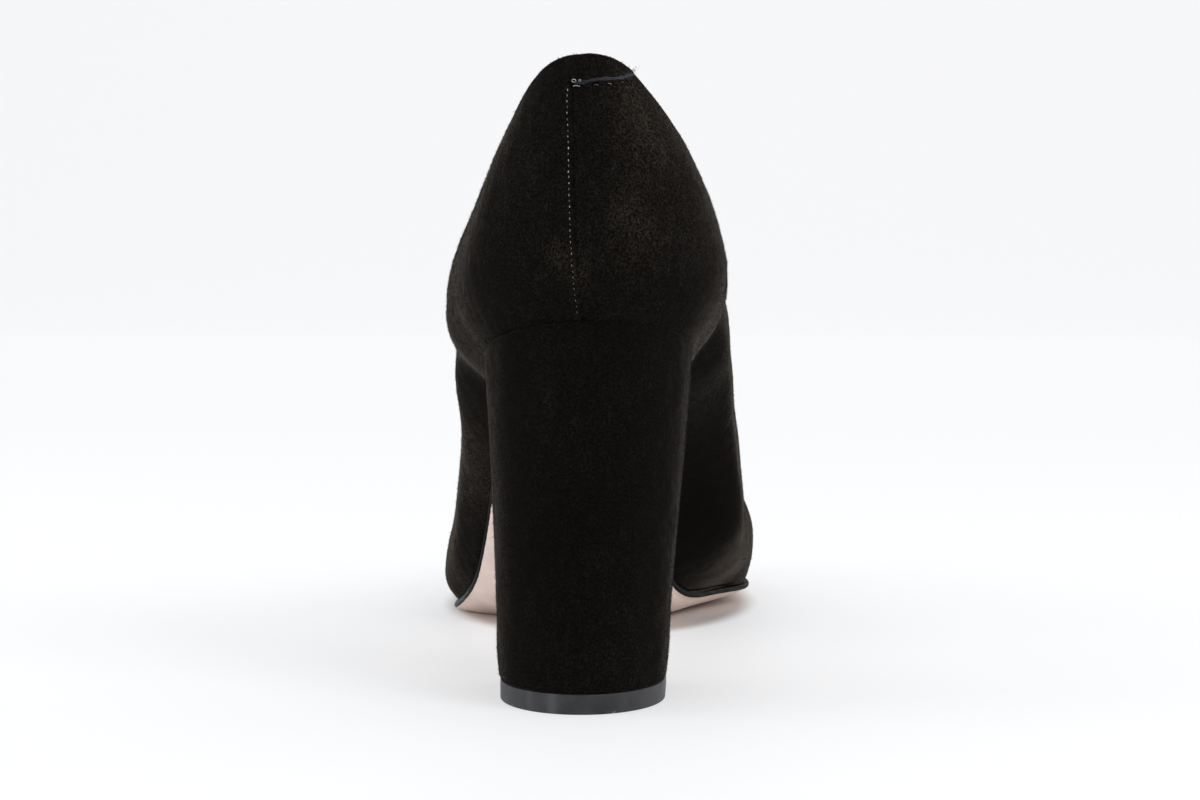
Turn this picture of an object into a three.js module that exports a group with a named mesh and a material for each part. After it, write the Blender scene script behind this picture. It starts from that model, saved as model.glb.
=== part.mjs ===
import * as THREE from 'three';

// A left block heel pump, in millimetres. Y runs from the back of the heel seat to the toe, X from the
// outer side to the inner side, and Z up from the floor. Every piece is worked out from one last.

// Driving sizes
const heelHeight = 87.2;
const lastLength = 243;
const throatY = 156;
const upperWall = 2;
const gap = 0.3;
const soleGap = 0.45;
const insoleThickness = 2.4;
const insoleClearance = 0.9;
const soleEdgeThickness = 1.5;
const soleMiddleThickness = 3.8;
const liftThickness = 4.5;
const liftInset = 0.2;

// Rounds of the last: how far each one reaches, and how full it is, where 2 is a quarter of an ellipse.
const seatRound = 29;
const collarRound = 38;
const roundRise = 18;
const heelFullness = 2;
const throatRound = 20;
const toeRound = 58;
const toeFullness = 2.1;
const toeWall = 21;
const toeWallFullness = 2.2;
const sagFullness = 4;

// The sole's edge stands out from the upper under the ball, and is nearly flush at the waist.
const reveal = { waist: 0.3, ball: 1.1, from: 105, over: 35 };

// The pull tab on the back seam, and how far each of its sides takes to rise.
const tab = { seamX: -2.4, length: 13, drop: 7, thickness: 0.9, seamRamp: 3, endRamp: 0.8, edgeRamp: 0.6,
  reach: 25 };

// A line inside the last that the upper's columns are aimed from, at a share of the height there.
const spine = { back: 26, front: 185, share: 0.4, farthest: 140, halvings: 40 };

// The share of a row of points that goes round the back, and the share where the front round starts.
const footShares = { back: 0.14, front: 0.74 };
const collarShares = { back: 0.2, front: 0.8 };
const insoleShares = { back: 0.16, front: 0.78 };
const outsoleShares = { back: 0, front: 0.7 };

// The last's cross sections. feather is the height of its lower edge, out and in are the outer and the
// inner side, foot is the half width at that edge, wide the greatest half width, and bulge the rise from
// the edge up to it. crest is the height where both sides meet on top, lean and crown shape the way up,
// axis is how far the ridge lies to the inner side, roll how the lower edge rises to the inner side, and
// sag how much lower the middle of the underside is than its edges.
const sectionColumns = ['y', 'feather', 'footOut', 'footIn', 'wideOut', 'wideIn', 'bulgeOut', 'bulgeIn',
  'crest', 'lean', 'crown', 'axis', 'roll', 'sag'];
const sections = columnsOf(sectionColumns, [
  [0, heelHeight, 23.3, 23.3, 31.7, 29.6, 16.1, 15.7, 177, 1.59, 1.0, 0, 0.04, 0],
  [25, 80.7, 23.5, 23.3, 31.1, 31.3, 16.9, 19.2, 165, 1.41, 1.0, 0.3, 0.04, 0],
  [50, 73.0, 24.0, 21.8, 35.7, 31.8, 18.9, 19.4, 147, 1.63, 1.0, 1.4, 0.02, 0],
  [75, 58.3, 25.5, 17.0, 36.8, 32.7, 17.4, 18.0, 122, 2.50, 1.2, 2.2, 0, 1.2],
  [100, 37.0, 29.6, 13.6, 37.4, 34.4, 14.4, 17.0, 99, 2.50, 1.5, 3.6, 0, 2.6],
  [125, 14.8, 35.3, 16.2, 41.8, 37.1, 10.9, 16.1, 77, 2.20, 1.8, 5.0, 0.01, 3.4],
  [140, 7.9, 39.5, 20.9, 44.9, 37.3, 9.2, 15.0, 65, 1.95, 1.9, 5.4, 0.018, 3.3],
  [155, 5.2, 43.7, 29.1, 47.5, 39.3, 7.8, 13.5, 55, 2.00, 2.0, 5.0, 0.058, 2.4],
  [172, 4.9, 42.6, 37.6, 46.4, 40.6, 8.6, 12.0, 46.0, 2.20, 2.0, 4.2, 0.035, 2.0],
  [192, 5.5, 38.6, 36.4, 41.8, 39.6, 9.4, 12.0, 38.2, 2.30, 2.0, 3.2, 0.025, 1.6],
  [212, 7.4, 34.4, 33.8, 37.4, 37.0, 9.6, 11.4, 32.2, 2.40, 2.1, 2.5, 0.015, 1.2],
  [230, 9.6, 31.2, 31.6, 34.0, 34.0, 9.0, 10.0, 28.8, 2.40, 2.1, 2.0, 0.005, 0.8],
  [lastLength, 12.0, 30.0, 30.4, 32.0, 32.0, 8.5, 9.0, 27.2, 2.40, 2.1, 1.5, 0, 0.5],
]);

// A soft hollow on both sides, where the heel cup meets the waist. y is where its middle lies at fromZ,
// slope how far that moves forward for each millimetre up, and it fades in above the lower edge and out
// below topZ, under the collar.
const hollow = {
  out: { y: 64, depth: 2.8, topZ: 90 },
  in: { y: 53, depth: 3.4, topZ: 99 },
  fromZ: 72, slope: 0.42, width: 9, fadeIn: 4, fadeOut: 10,
};

// The back of the last in side view: rise above the seat, and how far the back lies forward.
const backCurve = columnsOf(['rise', 'y'], [
  [0, 0], [7, -3.0], [16, -4.6], [28, -4.4], [43, -2.4], [57.4, 0.6], [80, 5.0],
]);

// The collar's edge in side view, on the outer and the inner side.
const collarLine = columnsOf(['y', 'out', 'in'], [
  [-5, 145.3, 145.3], [0, 145.2, 145.4], [6, 142.3, 142.3], [15, 132.4, 133.2], [30, 119.1, 121.5],
  [50, 105.5, 108.6], [75, 89.0, 93.1], [100, 72.9, 77.6], [125, 58.4, 62.4], [143, 52.0, 54.5],
  [throatY, 54.4, 54.4],
]);

// The heel block from the seat down to the lift: share of the way down, half width, back, breast, and
// how far the section lies to the inner side.
const blockLevels = columnsOf(['down', 'half', 'back', 'breast', 'shift'], [
  [0.00, 23.8, -0.4, 50.0, -0.8], [0.25, 22.6, -0.3, 48.4, -0.9], [0.45, 21.5, -0.2, 47.0, -1.05],
  [0.65, 20.6, -0.1, 45.6, -1.4], [0.80, 19.9, 0.0, 44.6, -1.6], [0.96, 19.4, 0.1, 43.5, -1.75],
  [0.99, 19.1, 0.4, 43.2, -1.75], [1.00, 18.7, 0.8, 42.8, -1.7],
]);
const breastCorner = { radius: 2.5, steps: 3 };

function columnsOf(names, rows) {
  return Object.fromEntries(names.map((name, i) => [name, rows.map((row) => row[i])]));
}

// A smooth curve through a table's column, whose slope at a row is the mean of the slopes beside it.
function along(at, values, x) {
  const last = at.length - 1;
  const clamped = Math.min(Math.max(x, at[0]), at[last]);
  let i = 0;
  while (i < last - 1 && clamped >= at[i + 1]) i += 1;
  const step = (j) => at[j + 1] - at[j];
  const rise = (j) => (values[j + 1] - values[j]) / step(j);
  const slope = (j) => {
    if (j === 0) return rise(0);
    if (j === last) return rise(last - 1);
    return (rise(j - 1) * step(j) + rise(j) * step(j - 1)) / (step(j - 1) + step(j));
  };
  const t = (clamped - at[i]) / step(i);
  const start = (2 * t ** 3 - 3 * t ** 2 + 1) * values[i] + (t ** 3 - 2 * t ** 2 + t) * step(i) * slope(i);
  const end = (3 * t ** 2 - 2 * t ** 3) * values[i + 1] + (t ** 3 - t ** 2) * step(i) * slope(i + 1);
  return start + end;
}

const section = (name, y) => along(sections.y, sections[name], y);
const backAt = (z) => along(backCurve.rise, backCurve.y, z - heelHeight);
const collarAt = (y, side) => along(collarLine.y, side < 0 ? collarLine.out : collarLine.in, y);
const mix = (a, b, t) => a + (b - a) * t;
const clamp = (value) => Math.min(Math.max(value, 0), 1);
const ease = (value) => clamp(value) ** 2 * (3 - 2 * clamp(value));
const subtract = (a, b) => new THREE.Vector3().subVectors(a, b);

// Width that closes round an end: 0 at the end, 1 from one radius inwards.
function closing(share, power) {
  return (1 - (1 - clamp(share)) ** power) ** (1 / power);
}

// Outline of the lower edge, drawn in by an inset.
function footX(y, side, inset) {
  const half = section(side < 0 ? 'footOut' : 'footIn', y) - inset;
  const heel = closing((y - inset) / (seatRound - inset), heelFullness);
  const toe = closing((lastLength - inset - y) / (toeRound - inset), toeFullness);
  const axis = section('axis', y);
  return axis + (side * half - axis) * heel * toe;
}

// Height of the last's lower edge on one side.
const edgeHeight = (x, y) => section('feather', y) + section('roll', y) * x;
const featherAt = (y, side) => edgeHeight(footX(y, side, 0), y);

// Height of the last's underside: its middle sags below its edges, and less so towards the toe.
function underLast(x, y) {
  const axis = section('axis', y);
  const half = Math.max(Math.abs(footX(y, Math.sign(x - axis) || 1, 0) - axis), 1e-6);
  const place = clamp(Math.abs(x - axis) / half);
  const end = closing((lastLength - y) / toeRound, toeFullness);
  return edgeHeight(x, y) - section('sag', y) * end * (1 - place ** sagFullness);
}

// Depth of the hollow at a length, a height and a rise above the lower edge.
function hollowDepth(y, z, rise, side) {
  const { y: middle, depth, topZ } = side < 0 ? hollow.out : hollow.in;
  const away = y - middle - hollow.slope * (z - hollow.fromZ);
  const fade = ease(rise / hollow.fadeIn) * ease((topZ - z) / hollow.fadeOut);
  return depth * fade * Math.exp(-((away / hollow.width) ** 2));
}

// Half width of the last at a length and height, on the outer side (-1) or the inner side (1).
function lastX(y, z, side) {
  const sideName = side < 0 ? 'Out' : 'In';
  const foot = side * section('foot' + sideName, y);
  const wide = side * section('wide' + sideName, y);
  const toeHeight = closing((lastLength - y) / toeWall, toeWallFullness);
  const bulge = Math.max(section('bulge' + sideName, y) * toeHeight, 1e-6);
  const rise = z - featherAt(y, side);
  const crest = Math.max((section('crest', y) - featherAt(y, side)) * toeHeight, bulge + 1e-6);
  const swell = (wide - foot) * (1 - (1 - clamp(rise / bulge)) ** 2);
  const low = foot + swell - side * hollowDepth(y, z, rise, side);
  const up = clamp((rise - bulge) / (crest - bulge));
  const shape = (1 - up ** section('lean', y)) ** (1 / section('crown', y));
  const radius = mix(seatRound, collarRound, clamp(rise / roundRise));
  const heel = closing((y - backAt(z)) / radius, heelFullness);
  const toe = closing((lastLength - y) / toeRound, toeFullness);
  const axis = section('axis', y);
  return axis + (low - axis) * shape * heel * toe;
}

function isInLast({ x, y, z }) {
  if (y > lastLength || y < backAt(z)) return false;
  return x > lastX(y, z, -1) && x < lastX(y, z, 1);
}

// Length at a share of the way from back to front, with steps that shorten round both ends.
function lengthAt(share, [start, startRound], [end, endRound], shares) {
  if (share < shares.back) {
    return start + startRound * (1 - Math.cos((Math.PI / 2) * (share / shares.back)));
  }
  if (share > shares.front) {
    return end - endRound * (1 - Math.cos((Math.PI / 2) * ((1 - share) / (1 - shares.front))));
  }
  return mix(start + startRound, end - endRound, (share - shares.back) / (shares.front - shares.back));
}

// A closed mesh from shared vertices and triangles.
function meshOf(name, vertices, triangles, material) {
  const geometry = new THREE.BufferGeometry();
  geometry.setAttribute('position', new THREE.Float32BufferAttribute(vertices.flat(), 3));
  geometry.setIndex(triangles.flat());
  geometry.computeVertexNormals();
  const mesh = new THREE.Mesh(geometry, material);
  mesh.name = name;
  return mesh;
}

// Two triangles for each cell between two rows of vertex numbers.
function stitch(triangles, lower, upper, closed) {
  const count = closed ? lower.length : lower.length - 1;
  for (let i = 0; i < count; i += 1) {
    const j = (i + 1) % lower.length;
    if (lower[i] !== lower[j]) triangles.push([lower[i], lower[j], upper[j]]);
    if (upper[i] !== upper[j]) triangles.push([lower[i], upper[j], upper[i]]);
  }
}

// The upper: rays from a spine inside the last meet its side between the lower edge and the collar.
function makeUpper(material) {
  const halfColumns = 42;
  const rows = [0, 0.05, 0.11, 0.18, 0.26, 0.36, 0.47, 0.58, 0.69, 0.79, 0.87, 0.932, 0.947, 1];
  const shares = [];
  for (let i = 0; i <= halfColumns; i += 1) shares.push(i / halfColumns);
  const columns = [
    ...shares.map((share) => ({ share, side: -1 })),
    ...shares.slice(1, -1).reverse().map((share) => ({ share, side: 1 })),
  ];

  const outer = columns.map(({ share, side }) => upperColumn(share, side, rows));
  const count = outer.length;
  const inner = outer.map((column, i) => column.map((point, j) => {
    const acrossStep = subtract(outer[(i + 1) % count][j], outer[(i + count - 1) % count][j]);
    const upStep = subtract(column[Math.min(j + 1, rows.length - 1)], column[Math.max(j - 1, 0)]);
    const normal = new THREE.Vector3().crossVectors(acrossStep, upStep).normalize();
    return point.clone().addScaledVector(normal, upperWall);
  }));
  const raised = outer.map((column, i) => column.map((point, j) => {
    const outward = subtract(point, inner[i][j]).normalize();
    return point.clone().addScaledVector(outward, tabRaise(point, column[rows.length - 1]));
  }));

  const vertices = [];
  const triangles = [];
  const place = (grid, j) => grid.map((column) => vertices.push(column[j].toArray()) - 1);
  const outerRows = rows.map((_, j) => place(raised, j));
  const innerRows = rows.map((_, j) => place(inner, j));
  for (let j = 0; j + 1 < rows.length; j += 1) {
    stitch(triangles, outerRows[j + 1], outerRows[j], true);
    stitch(triangles, innerRows[j], innerRows[j + 1], true);
  }
  stitch(triangles, outerRows[0], innerRows[0], true);
  stitch(triangles, innerRows[rows.length - 1], outerRows[rows.length - 1], true);
  return meshOf('upper', vertices, triangles, material);
}

// One column of the upper's outer face, at a share of the way from the back to the toe.
function upperColumn(share, side, rows) {
  const lowY = lengthAt(share, [0, seatRound], [lastLength, toeRound], footShares);
  const collarBack = backAt(collarAt(0, side));
  const highY = lengthAt(share, [collarBack, collarRound], [throatY, throatRound], collarShares);
  const low = new THREE.Vector3(footX(lowY, side, 0), lowY, featherAt(lowY, side));
  const highZ = collarAt(highY, side);
  const high = new THREE.Vector3(lastX(highY, highZ, side), highY, highZ);
  const middle = Math.min(Math.max((lowY + highY) / 2, spine.back), spine.front);
  const top = Math.min((collarAt(middle, -1) + collarAt(middle, 1)) / 2, section('crest', middle));
  const height = mix(section('feather', middle), top, spine.share);
  const origin = new THREE.Vector3(section('axis', middle), middle, height);
  const toLow = subtract(low, origin).normalize();
  const toHigh = subtract(high, origin).normalize();
  const turn = toLow.angleTo(toHigh);
  return rows.map((row) => {
    if (row === 0) return low;
    if (row === 1) return high;
    const direction = toLow.clone().multiplyScalar(Math.sin((1 - row) * turn))
      .addScaledVector(toHigh, Math.sin(row * turn)).normalize();
    return meetLast(origin, direction);
  });
}

// Where a ray from inside the last leaves it, found by halving.
function meetLast(origin, direction) {
  let inside = 0;
  let outside = spine.farthest;
  for (let i = 0; i < spine.halvings; i += 1) {
    const middle = (inside + outside) / 2;
    if (isInLast(origin.clone().addScaledVector(direction, middle))) inside = middle;
    else outside = middle;
  }
  return origin.clone().addScaledVector(direction, inside);
}

// The pull tab is the outer quarter's top, carried over the back seam: a step in the wall.
function tabRaise(point, collarPoint) {
  if (point.y > tab.reach) return 0;
  const besideSeam = (point.x - tab.seamX) / tab.seamRamp + 1;
  const beforeEnd = (tab.seamX + tab.length - point.x) / tab.endRamp;
  const aboveEdge = (tab.drop + point.z - collarPoint.z) / tab.edgeRamp + 0.5;
  return tab.thickness * clamp(besideSeam) * clamp(beforeEnd) * clamp(aboveEdge);
}

// A plate that follows the last's underside, as rows across from the outer side to the inner side. Its
// under and upper faces are functions of the two ways along it and of the place across, from -1 to 1.
function makePlate(name, { ys, insetAt, across, underside, topside, pointed }, material) {
  const vertices = [];
  const triangles = [];
  const row = (y, height, single) => {
    const outX = footX(y, -1, insetAt(y));
    const inX = footX(y, 1, insetAt(y));
    if (single) {
      const x = section('axis', y);
      const index = vertices.push([x, y, height(x, y, 0)]) - 1;
      return Array(across + 1).fill(index);
    }
    return Array.from({ length: across + 1 }, (_, i) => {
      const place = -Math.cos((Math.PI * i) / across);
      const x = mix(outX, inX, (place + 1) / 2);
      return vertices.push([x, y, height(x, y, place)]) - 1;
    });
  };
  const isPoint = (i) => (i === 0 && pointed.back) || (i === ys.length - 1 && pointed.front);
  const top = ys.map((y, i) => row(y, topside, isPoint(i)));
  const under = ys.map((y, i) => row(y, underside, isPoint(i)));
  for (let i = 0; i + 1 < ys.length; i += 1) {
    stitch(triangles, top[i], top[i + 1], false);
    stitch(triangles, under[i + 1], under[i], false);
    const outEdge = [top[i][0], top[i + 1][0]];
    const outUnder = [under[i][0], under[i + 1][0]];
    const inEdge = [top[i][across], top[i + 1][across]];
    const inUnder = [under[i][across], under[i + 1][across]];
    stitch(triangles, outEdge, outUnder, false);
    stitch(triangles, inUnder, inEdge, false);
  }
  stitch(triangles, under[0], top[0], false);
  stitch(triangles, top[ys.length - 1], under[ys.length - 1], false);
  return meshOf(name, vertices, triangles, material);
}

// The insole lies inside the upper's lower edge.
function makeInsole(material) {
  const inset = upperWall + insoleClearance;
  const steps = 40;
  const ys = Array.from({ length: steps + 1 }, (_, i) => lengthAt(
    i / steps, [inset, seatRound - inset], [lastLength - inset, toeRound - inset], insoleShares));
  return makePlate('insole', {
    ys,
    insetAt: () => inset,
    across: 8,
    underside: underLast,
    topside: (x, y) => underLast(x, y) + insoleThickness,
    pointed: { back: true, front: true },
  }, material);
}

// The outsole runs from the heel's breast to the toe. It is thin at the edge and full in the middle, and
// the floor flattens it under the ball of the foot.
function makeOutsole(material) {
  const rear = blockLevels.breast[0] + gap;
  const steps = 44;
  const front = lastLength + reveal.ball;
  const ys = Array.from({ length: steps + 1 }, (_, i) => lengthAt(
    i / steps, [rear, 0], [front, toeRound], outsoleShares));
  const thickness = (place) => {
    const fullness = Math.sqrt(Math.max(1 - place ** 2, 0));
    return mix(soleEdgeThickness, soleMiddleThickness, fullness);
  };
  return makePlate('outsole', {
    ys,
    insetAt: (y) => -mix(reveal.waist, reveal.ball, clamp((y - reveal.from) / reveal.over)),
    across: 14,
    underside: (x, y, place) => Math.max(underLast(x, y) - soleGap - thickness(place), 0),
    topside: (x, y) => underLast(x, y) - soleGap,
    pointed: { back: false, front: true },
  }, material);
}

// A D-shaped outline: half an ellipse round the back, straight sides and a flat breast with small corners.
function blockOutline({ half, back, breast, shift }) {
  const points = [];
  const round = seatRound * (half / blockLevels.half[0]);
  const backSteps = 26;
  for (let i = 0; i <= backSteps; i += 1) {
    const angle = Math.PI * (i / backSteps);
    points.push([shift + half * Math.cos(angle), back + round - round * Math.sin(angle)]);
  }
  const { radius, steps } = breastCorner;
  for (const side of [-1, 1]) {
    for (let i = 0; i <= steps; i += 1) {
      const angle = (Math.PI / 2) * (side < 0 ? i : steps - i) / steps;
      points.push([
        shift + side * (half - radius + radius * Math.cos(angle)),
        breast - radius + radius * Math.sin(angle),
      ]);
    }
  }
  return points;
}

// A solid between stacked outlines, closed at each end by strips across it.
function stackOf(name, outlines, material) {
  const vertices = [];
  const triangles = [];
  const rings = outlines.map((points) => points.map((point) => vertices.push(point) - 1));
  for (let i = 0; i + 1 < rings.length; i += 1) stitch(triangles, rings[i], rings[i + 1], true);
  const cap = (ring, isTop) => {
    for (let i = 0; i + 1 < ring.length / 2; i += 1) {
      const [a, b] = [ring[i], ring[i + 1]];
      const [c, d] = [ring[ring.length - 2 - i], ring[ring.length - 1 - i]];
      const quad = isTop ? [[a, d, c], [a, c, b]] : [[a, c, d], [a, b, c]];
      quad.forEach((triangle) => {
        if (new Set(triangle).size === 3) triangles.push(triangle);
      });
    }
  };
  cap(rings[0], true);
  cap(rings.at(-1), false);
  return meshOf(name, vertices, triangles, material);
}

function blockLevel(i) {
  return Object.fromEntries(Object.keys(blockLevels).map((name) => [name, blockLevels[name][i]]));
}

// The heel block: its top follows the seat, and its foot is flat.
function makeHeelBlock(material) {
  const footZ = liftThickness + gap;
  const outlines = blockLevels.down.map((down, i) => blockOutline(blockLevel(i)).map(([x, y]) => [
    x, y, mix(underLast(x, y) - gap, footZ, down),
  ]));
  return stackOf('heel_block', outlines, material);
}

// The top lift: the piece under the heel block that takes the wear.
function makeTopLift(material) {
  const foot = blockLevel(blockLevels.down.length - 1);
  const outline = blockOutline({
    half: foot.half - liftInset,
    back: foot.back + liftInset,
    breast: foot.breast - liftInset,
    shift: foot.shift,
  });
  const levels = [liftThickness, 0];
  return stackOf('top_lift', levels.map((z) => outline.map(([x, y]) => [x, y, z])), material);
}

const blackSuede = new THREE.MeshStandardMaterial({ color: 0x1b1918, roughness: 0.95, metalness: 0 });
const heelSuede = new THREE.MeshStandardMaterial({ color: 0x141312, roughness: 0.95, metalness: 0 });
const soleLeather = new THREE.MeshStandardMaterial({ color: 0xdbc5ba, roughness: 0.5, metalness: 0 });
const sockLeather = new THREE.MeshStandardMaterial({ color: 0xc9b3a2, roughness: 0.6, metalness: 0 });
const liftRubber = new THREE.MeshStandardMaterial({ color: 0x3c3c3f, roughness: 0.6, metalness: 0 });

const pieces = new THREE.Group();
pieces.add(
  makeUpper(blackSuede),
  makeInsole(sockLeather),
  makeOutsole(soleLeather),
  makeHeelBlock(heelSuede),
  makeTopLift(liftRubber),
);

// The frame's origin is under the middle of the pump's bounding box.
const middle = new THREE.Box3().setFromObject(pieces).getCenter(new THREE.Vector3());
pieces.position.set(-middle.x, -middle.y, 0);

export default pieces;
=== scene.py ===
import math

import bpy
import numpy as np
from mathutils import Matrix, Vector


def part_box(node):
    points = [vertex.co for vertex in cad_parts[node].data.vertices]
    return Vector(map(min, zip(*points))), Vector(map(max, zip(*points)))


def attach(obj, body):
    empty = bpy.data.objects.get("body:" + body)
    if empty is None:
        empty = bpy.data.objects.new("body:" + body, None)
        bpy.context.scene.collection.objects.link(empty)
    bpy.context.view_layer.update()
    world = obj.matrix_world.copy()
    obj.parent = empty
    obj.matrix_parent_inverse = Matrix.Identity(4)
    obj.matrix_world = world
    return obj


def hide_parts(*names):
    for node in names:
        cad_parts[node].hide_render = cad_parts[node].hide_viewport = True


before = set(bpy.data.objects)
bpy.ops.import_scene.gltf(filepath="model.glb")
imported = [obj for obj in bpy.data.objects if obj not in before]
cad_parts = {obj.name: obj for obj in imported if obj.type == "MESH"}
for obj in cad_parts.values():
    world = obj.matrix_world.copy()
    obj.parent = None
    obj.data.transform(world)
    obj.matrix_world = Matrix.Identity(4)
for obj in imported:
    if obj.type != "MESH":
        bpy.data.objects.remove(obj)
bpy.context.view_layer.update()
print("frame loaded")

# Shapes are worked out in millimetres on the shoe's last: y from the back of the heel seat to the toe,
# x from the outer side to the inner side, z up from the floor. Side is -1 for outer and 1 for inner.

last = {
    "heelHeight": 87.2,
    "length": 243.0,
    "throatY": 156.0,
    "seatRound": 29.0,
    "collarRound": 38.0,
    "roundRise": 18.0,
    "throatRound": 20.0,
    "toeRound": 58.0,
    "toeFullness": 2.1,
    "toeWall": 21.0,
    "toeWallFullness": 2.2,
    "sagFullness": 4.0,
}
sectionColumns = ["y", "feather", "footOut", "footIn", "wideOut", "wideIn", "bulgeOut", "bulgeIn",
                  "crest", "lean", "crown", "axis", "roll", "sag"]
sectionRows = np.array([
    [0, 87.2, 23.3, 23.3, 31.7, 29.6, 16.1, 15.7, 177, 1.59, 1.0, 0, 0.04, 0],
    [25, 80.7, 23.5, 23.3, 31.1, 31.3, 16.9, 19.2, 165, 1.41, 1.0, 0.3, 0.04, 0],
    [50, 73.0, 24.0, 21.8, 35.7, 31.8, 18.9, 19.4, 147, 1.63, 1.0, 1.4, 0.02, 0],
    [75, 58.3, 25.5, 17.0, 36.8, 32.7, 17.4, 18.0, 122, 2.50, 1.2, 2.2, 0, 1.2],
    [100, 37.0, 29.6, 13.6, 37.4, 34.4, 14.4, 17.0, 99, 2.50, 1.5, 3.6, 0, 2.6],
    [125, 14.8, 35.3, 16.2, 41.8, 37.1, 10.9, 16.1, 77, 2.20, 1.8, 5.0, 0.01, 3.4],
    [140, 7.9, 39.5, 20.9, 44.9, 37.3, 9.2, 15.0, 65, 1.95, 1.9, 5.4, 0.018, 3.3],
    [155, 5.2, 43.7, 29.1, 47.5, 39.3, 7.8, 13.5, 55, 2.00, 2.0, 5.0, 0.058, 2.4],
    [172, 4.9, 42.6, 37.6, 46.4, 40.6, 8.6, 12.0, 46.0, 2.20, 2.0, 4.2, 0.035, 2.0],
    [192, 5.5, 38.6, 36.4, 41.8, 39.6, 9.4, 12.0, 38.2, 2.30, 2.0, 3.2, 0.025, 1.6],
    [212, 7.4, 34.4, 33.8, 37.4, 37.0, 9.6, 11.4, 32.2, 2.40, 2.1, 2.5, 0.015, 1.2],
    [230, 9.6, 31.2, 31.6, 34.0, 34.0, 9.0, 10.0, 28.8, 2.40, 2.1, 2.0, 0.005, 0.8],
    [243, 12.0, 30.0, 30.4, 32.0, 32.0, 8.5, 9.0, 27.2, 2.40, 2.1, 1.5, 0, 0.5],
])
# A soft hollow on both sides, where the heel cup meets the waist: y at fromZ, depth and top for each side.
hollow = {
    "out": (64, 2.8, 90),
    "in": (53, 3.4, 99),
    "fromZ": 72,
    "slope": 0.42,
    "width": 9,
    "fadeIn": 4,
    "fadeOut": 10,
}
# The back's height over the seat and length, and the collar's length and its outer and inner height.
backRows = np.array([[0, 0], [7, -3.0], [16, -4.6], [28, -4.4], [43, -2.4], [57.4, 0.6], [80, 5.0]])
collarRows = np.array([
    [-5, 145.3, 145.3], [0, 145.2, 145.4], [6, 142.3, 142.3], [15, 132.4, 133.2], [30, 119.1, 121.5],
    [50, 105.5, 108.6], [75, 89.0, 93.1], [100, 72.9, 77.6], [125, 58.4, 62.4], [143, 52.0, 54.5],
    [156, 54.4, 54.4],
])


# Cubic through a table's rows: each row's slope is the weighted mean of the slopes beside it.
def smoothTable(at, values, x):
    step = np.diff(at)
    rise = np.diff(values) / step
    slope = np.empty_like(values)
    slope[1:-1] = (rise[:-1] * step[1:] + rise[1:] * step[:-1]) / (step[:-1] + step[1:])
    slope[0], slope[-1] = rise[0], rise[-1]
    x = np.clip(x, at[0], at[-1])
    i = np.clip(np.searchsorted(at, x, side="right") - 1, 0, len(at) - 2)
    t = (x - at[i]) / step[i]
    start = (2 * t**3 - 3 * t**2 + 1) * values[i] + (t**3 - 2 * t**2 + t) * step[i] * slope[i]
    end = (3 * t**2 - 2 * t**3) * values[i + 1] + (t**3 - t**2) * step[i] * slope[i + 1]
    return start + end


fineY = np.linspace(0, last["length"], 6001)
fineSections = {
    name: smoothTable(sectionRows[:, 0], sectionRows[:, i], fineY) for i, name in enumerate(sectionColumns)
}


# One column of the sections at a length.
def section(name, y):
    return np.interp(y, fineY, fineSections[name])


# A column that differs between the sides.
def sided(name, y, side):
    return np.where(side < 0, section(name + "Out", y), section(name + "In", y))


# Length of the last's back at a height.
def backAt(z):
    return smoothTable(backRows[:, 0], backRows[:, 1], z - last["heelHeight"])


# Height of the collar at a length.
def collarAt(y, side):
    outer = smoothTable(collarRows[:, 0], collarRows[:, 1], y)
    inner = smoothTable(collarRows[:, 0], collarRows[:, 2], y)
    return np.where(side < 0, outer, inner)


# Soft step from 0 to 1.
def ease(x):
    x = np.clip(x, 0, 1)
    return x * x * (3 - 2 * x)


# Soft step of a value: 0 at none and 1 at full, so it falls where full is the smaller.
def grow(value, none, full):
    return ease((value - none) / (full - none))


# Bell of height 1 that falls off over its reach.
def bell(away, reach):
    return np.exp(-((away / reach) ** 2))


def unit(vectors):
    return vectors / np.maximum(np.linalg.norm(vectors, axis=-1, keepdims=True), 1e-9)


# Width that closes round an end: 0 at the end, 1 from one radius inwards.
def closing(share, power):
    return (1 - (1 - np.clip(share, 0, 1)) ** power) ** (1 / power)


# Outline of the last's lower edge, drawn in by an inset.
def footX(y, side, inset=0.0):
    half = sided("foot", y, side) - inset
    heelEnd = closing((y - inset) / (last["seatRound"] - inset), 2)
    toeEnd = closing((last["length"] - inset - y) / (last["toeRound"] - inset), last["toeFullness"])
    axis = section("axis", y)
    return axis + (side * half - axis) * heelEnd * toeEnd


# Height of the last's lower edge, which rolls up towards the inner side.
def edgeHeight(x, y):
    return section("feather", y) + section("roll", y) * x


# Height of the last's underside: its middle sags below its edges, and less so towards the toe.
def underLast(x, y):
    axis = section("axis", y)
    side = np.where(x < axis, -1, 1)
    half = np.maximum(np.abs(footX(y, side) - axis), 1e-6)
    place = np.clip(np.abs(x - axis) / half, 0, 1)
    toeEnd = closing((last["length"] - y) / last["toeRound"], last["toeFullness"])
    return edgeHeight(x, y) - section("sag", y) * toeEnd * (1 - place ** last["sagFullness"])


# The hollow's middle at a height, its depth and its top, on a side.
def hollowAt(z, side):
    middle, depth, top = [np.where(side < 0, a, b) for a, b in zip(hollow["out"], hollow["in"])]
    return middle + hollow["slope"] * (z - hollow["fromZ"]), depth, top


# Depth of the hollow: a bell along the shoe, which fades in over the lower edge and out at its top.
def hollowDepth(y, z, rise, side):
    middle, depth, top = hollowAt(z, side)
    fade = ease(rise / hollow["fadeIn"]) * ease((top - z) / hollow["fadeOut"])
    return depth * fade * bell(y - middle, hollow["width"])


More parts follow.
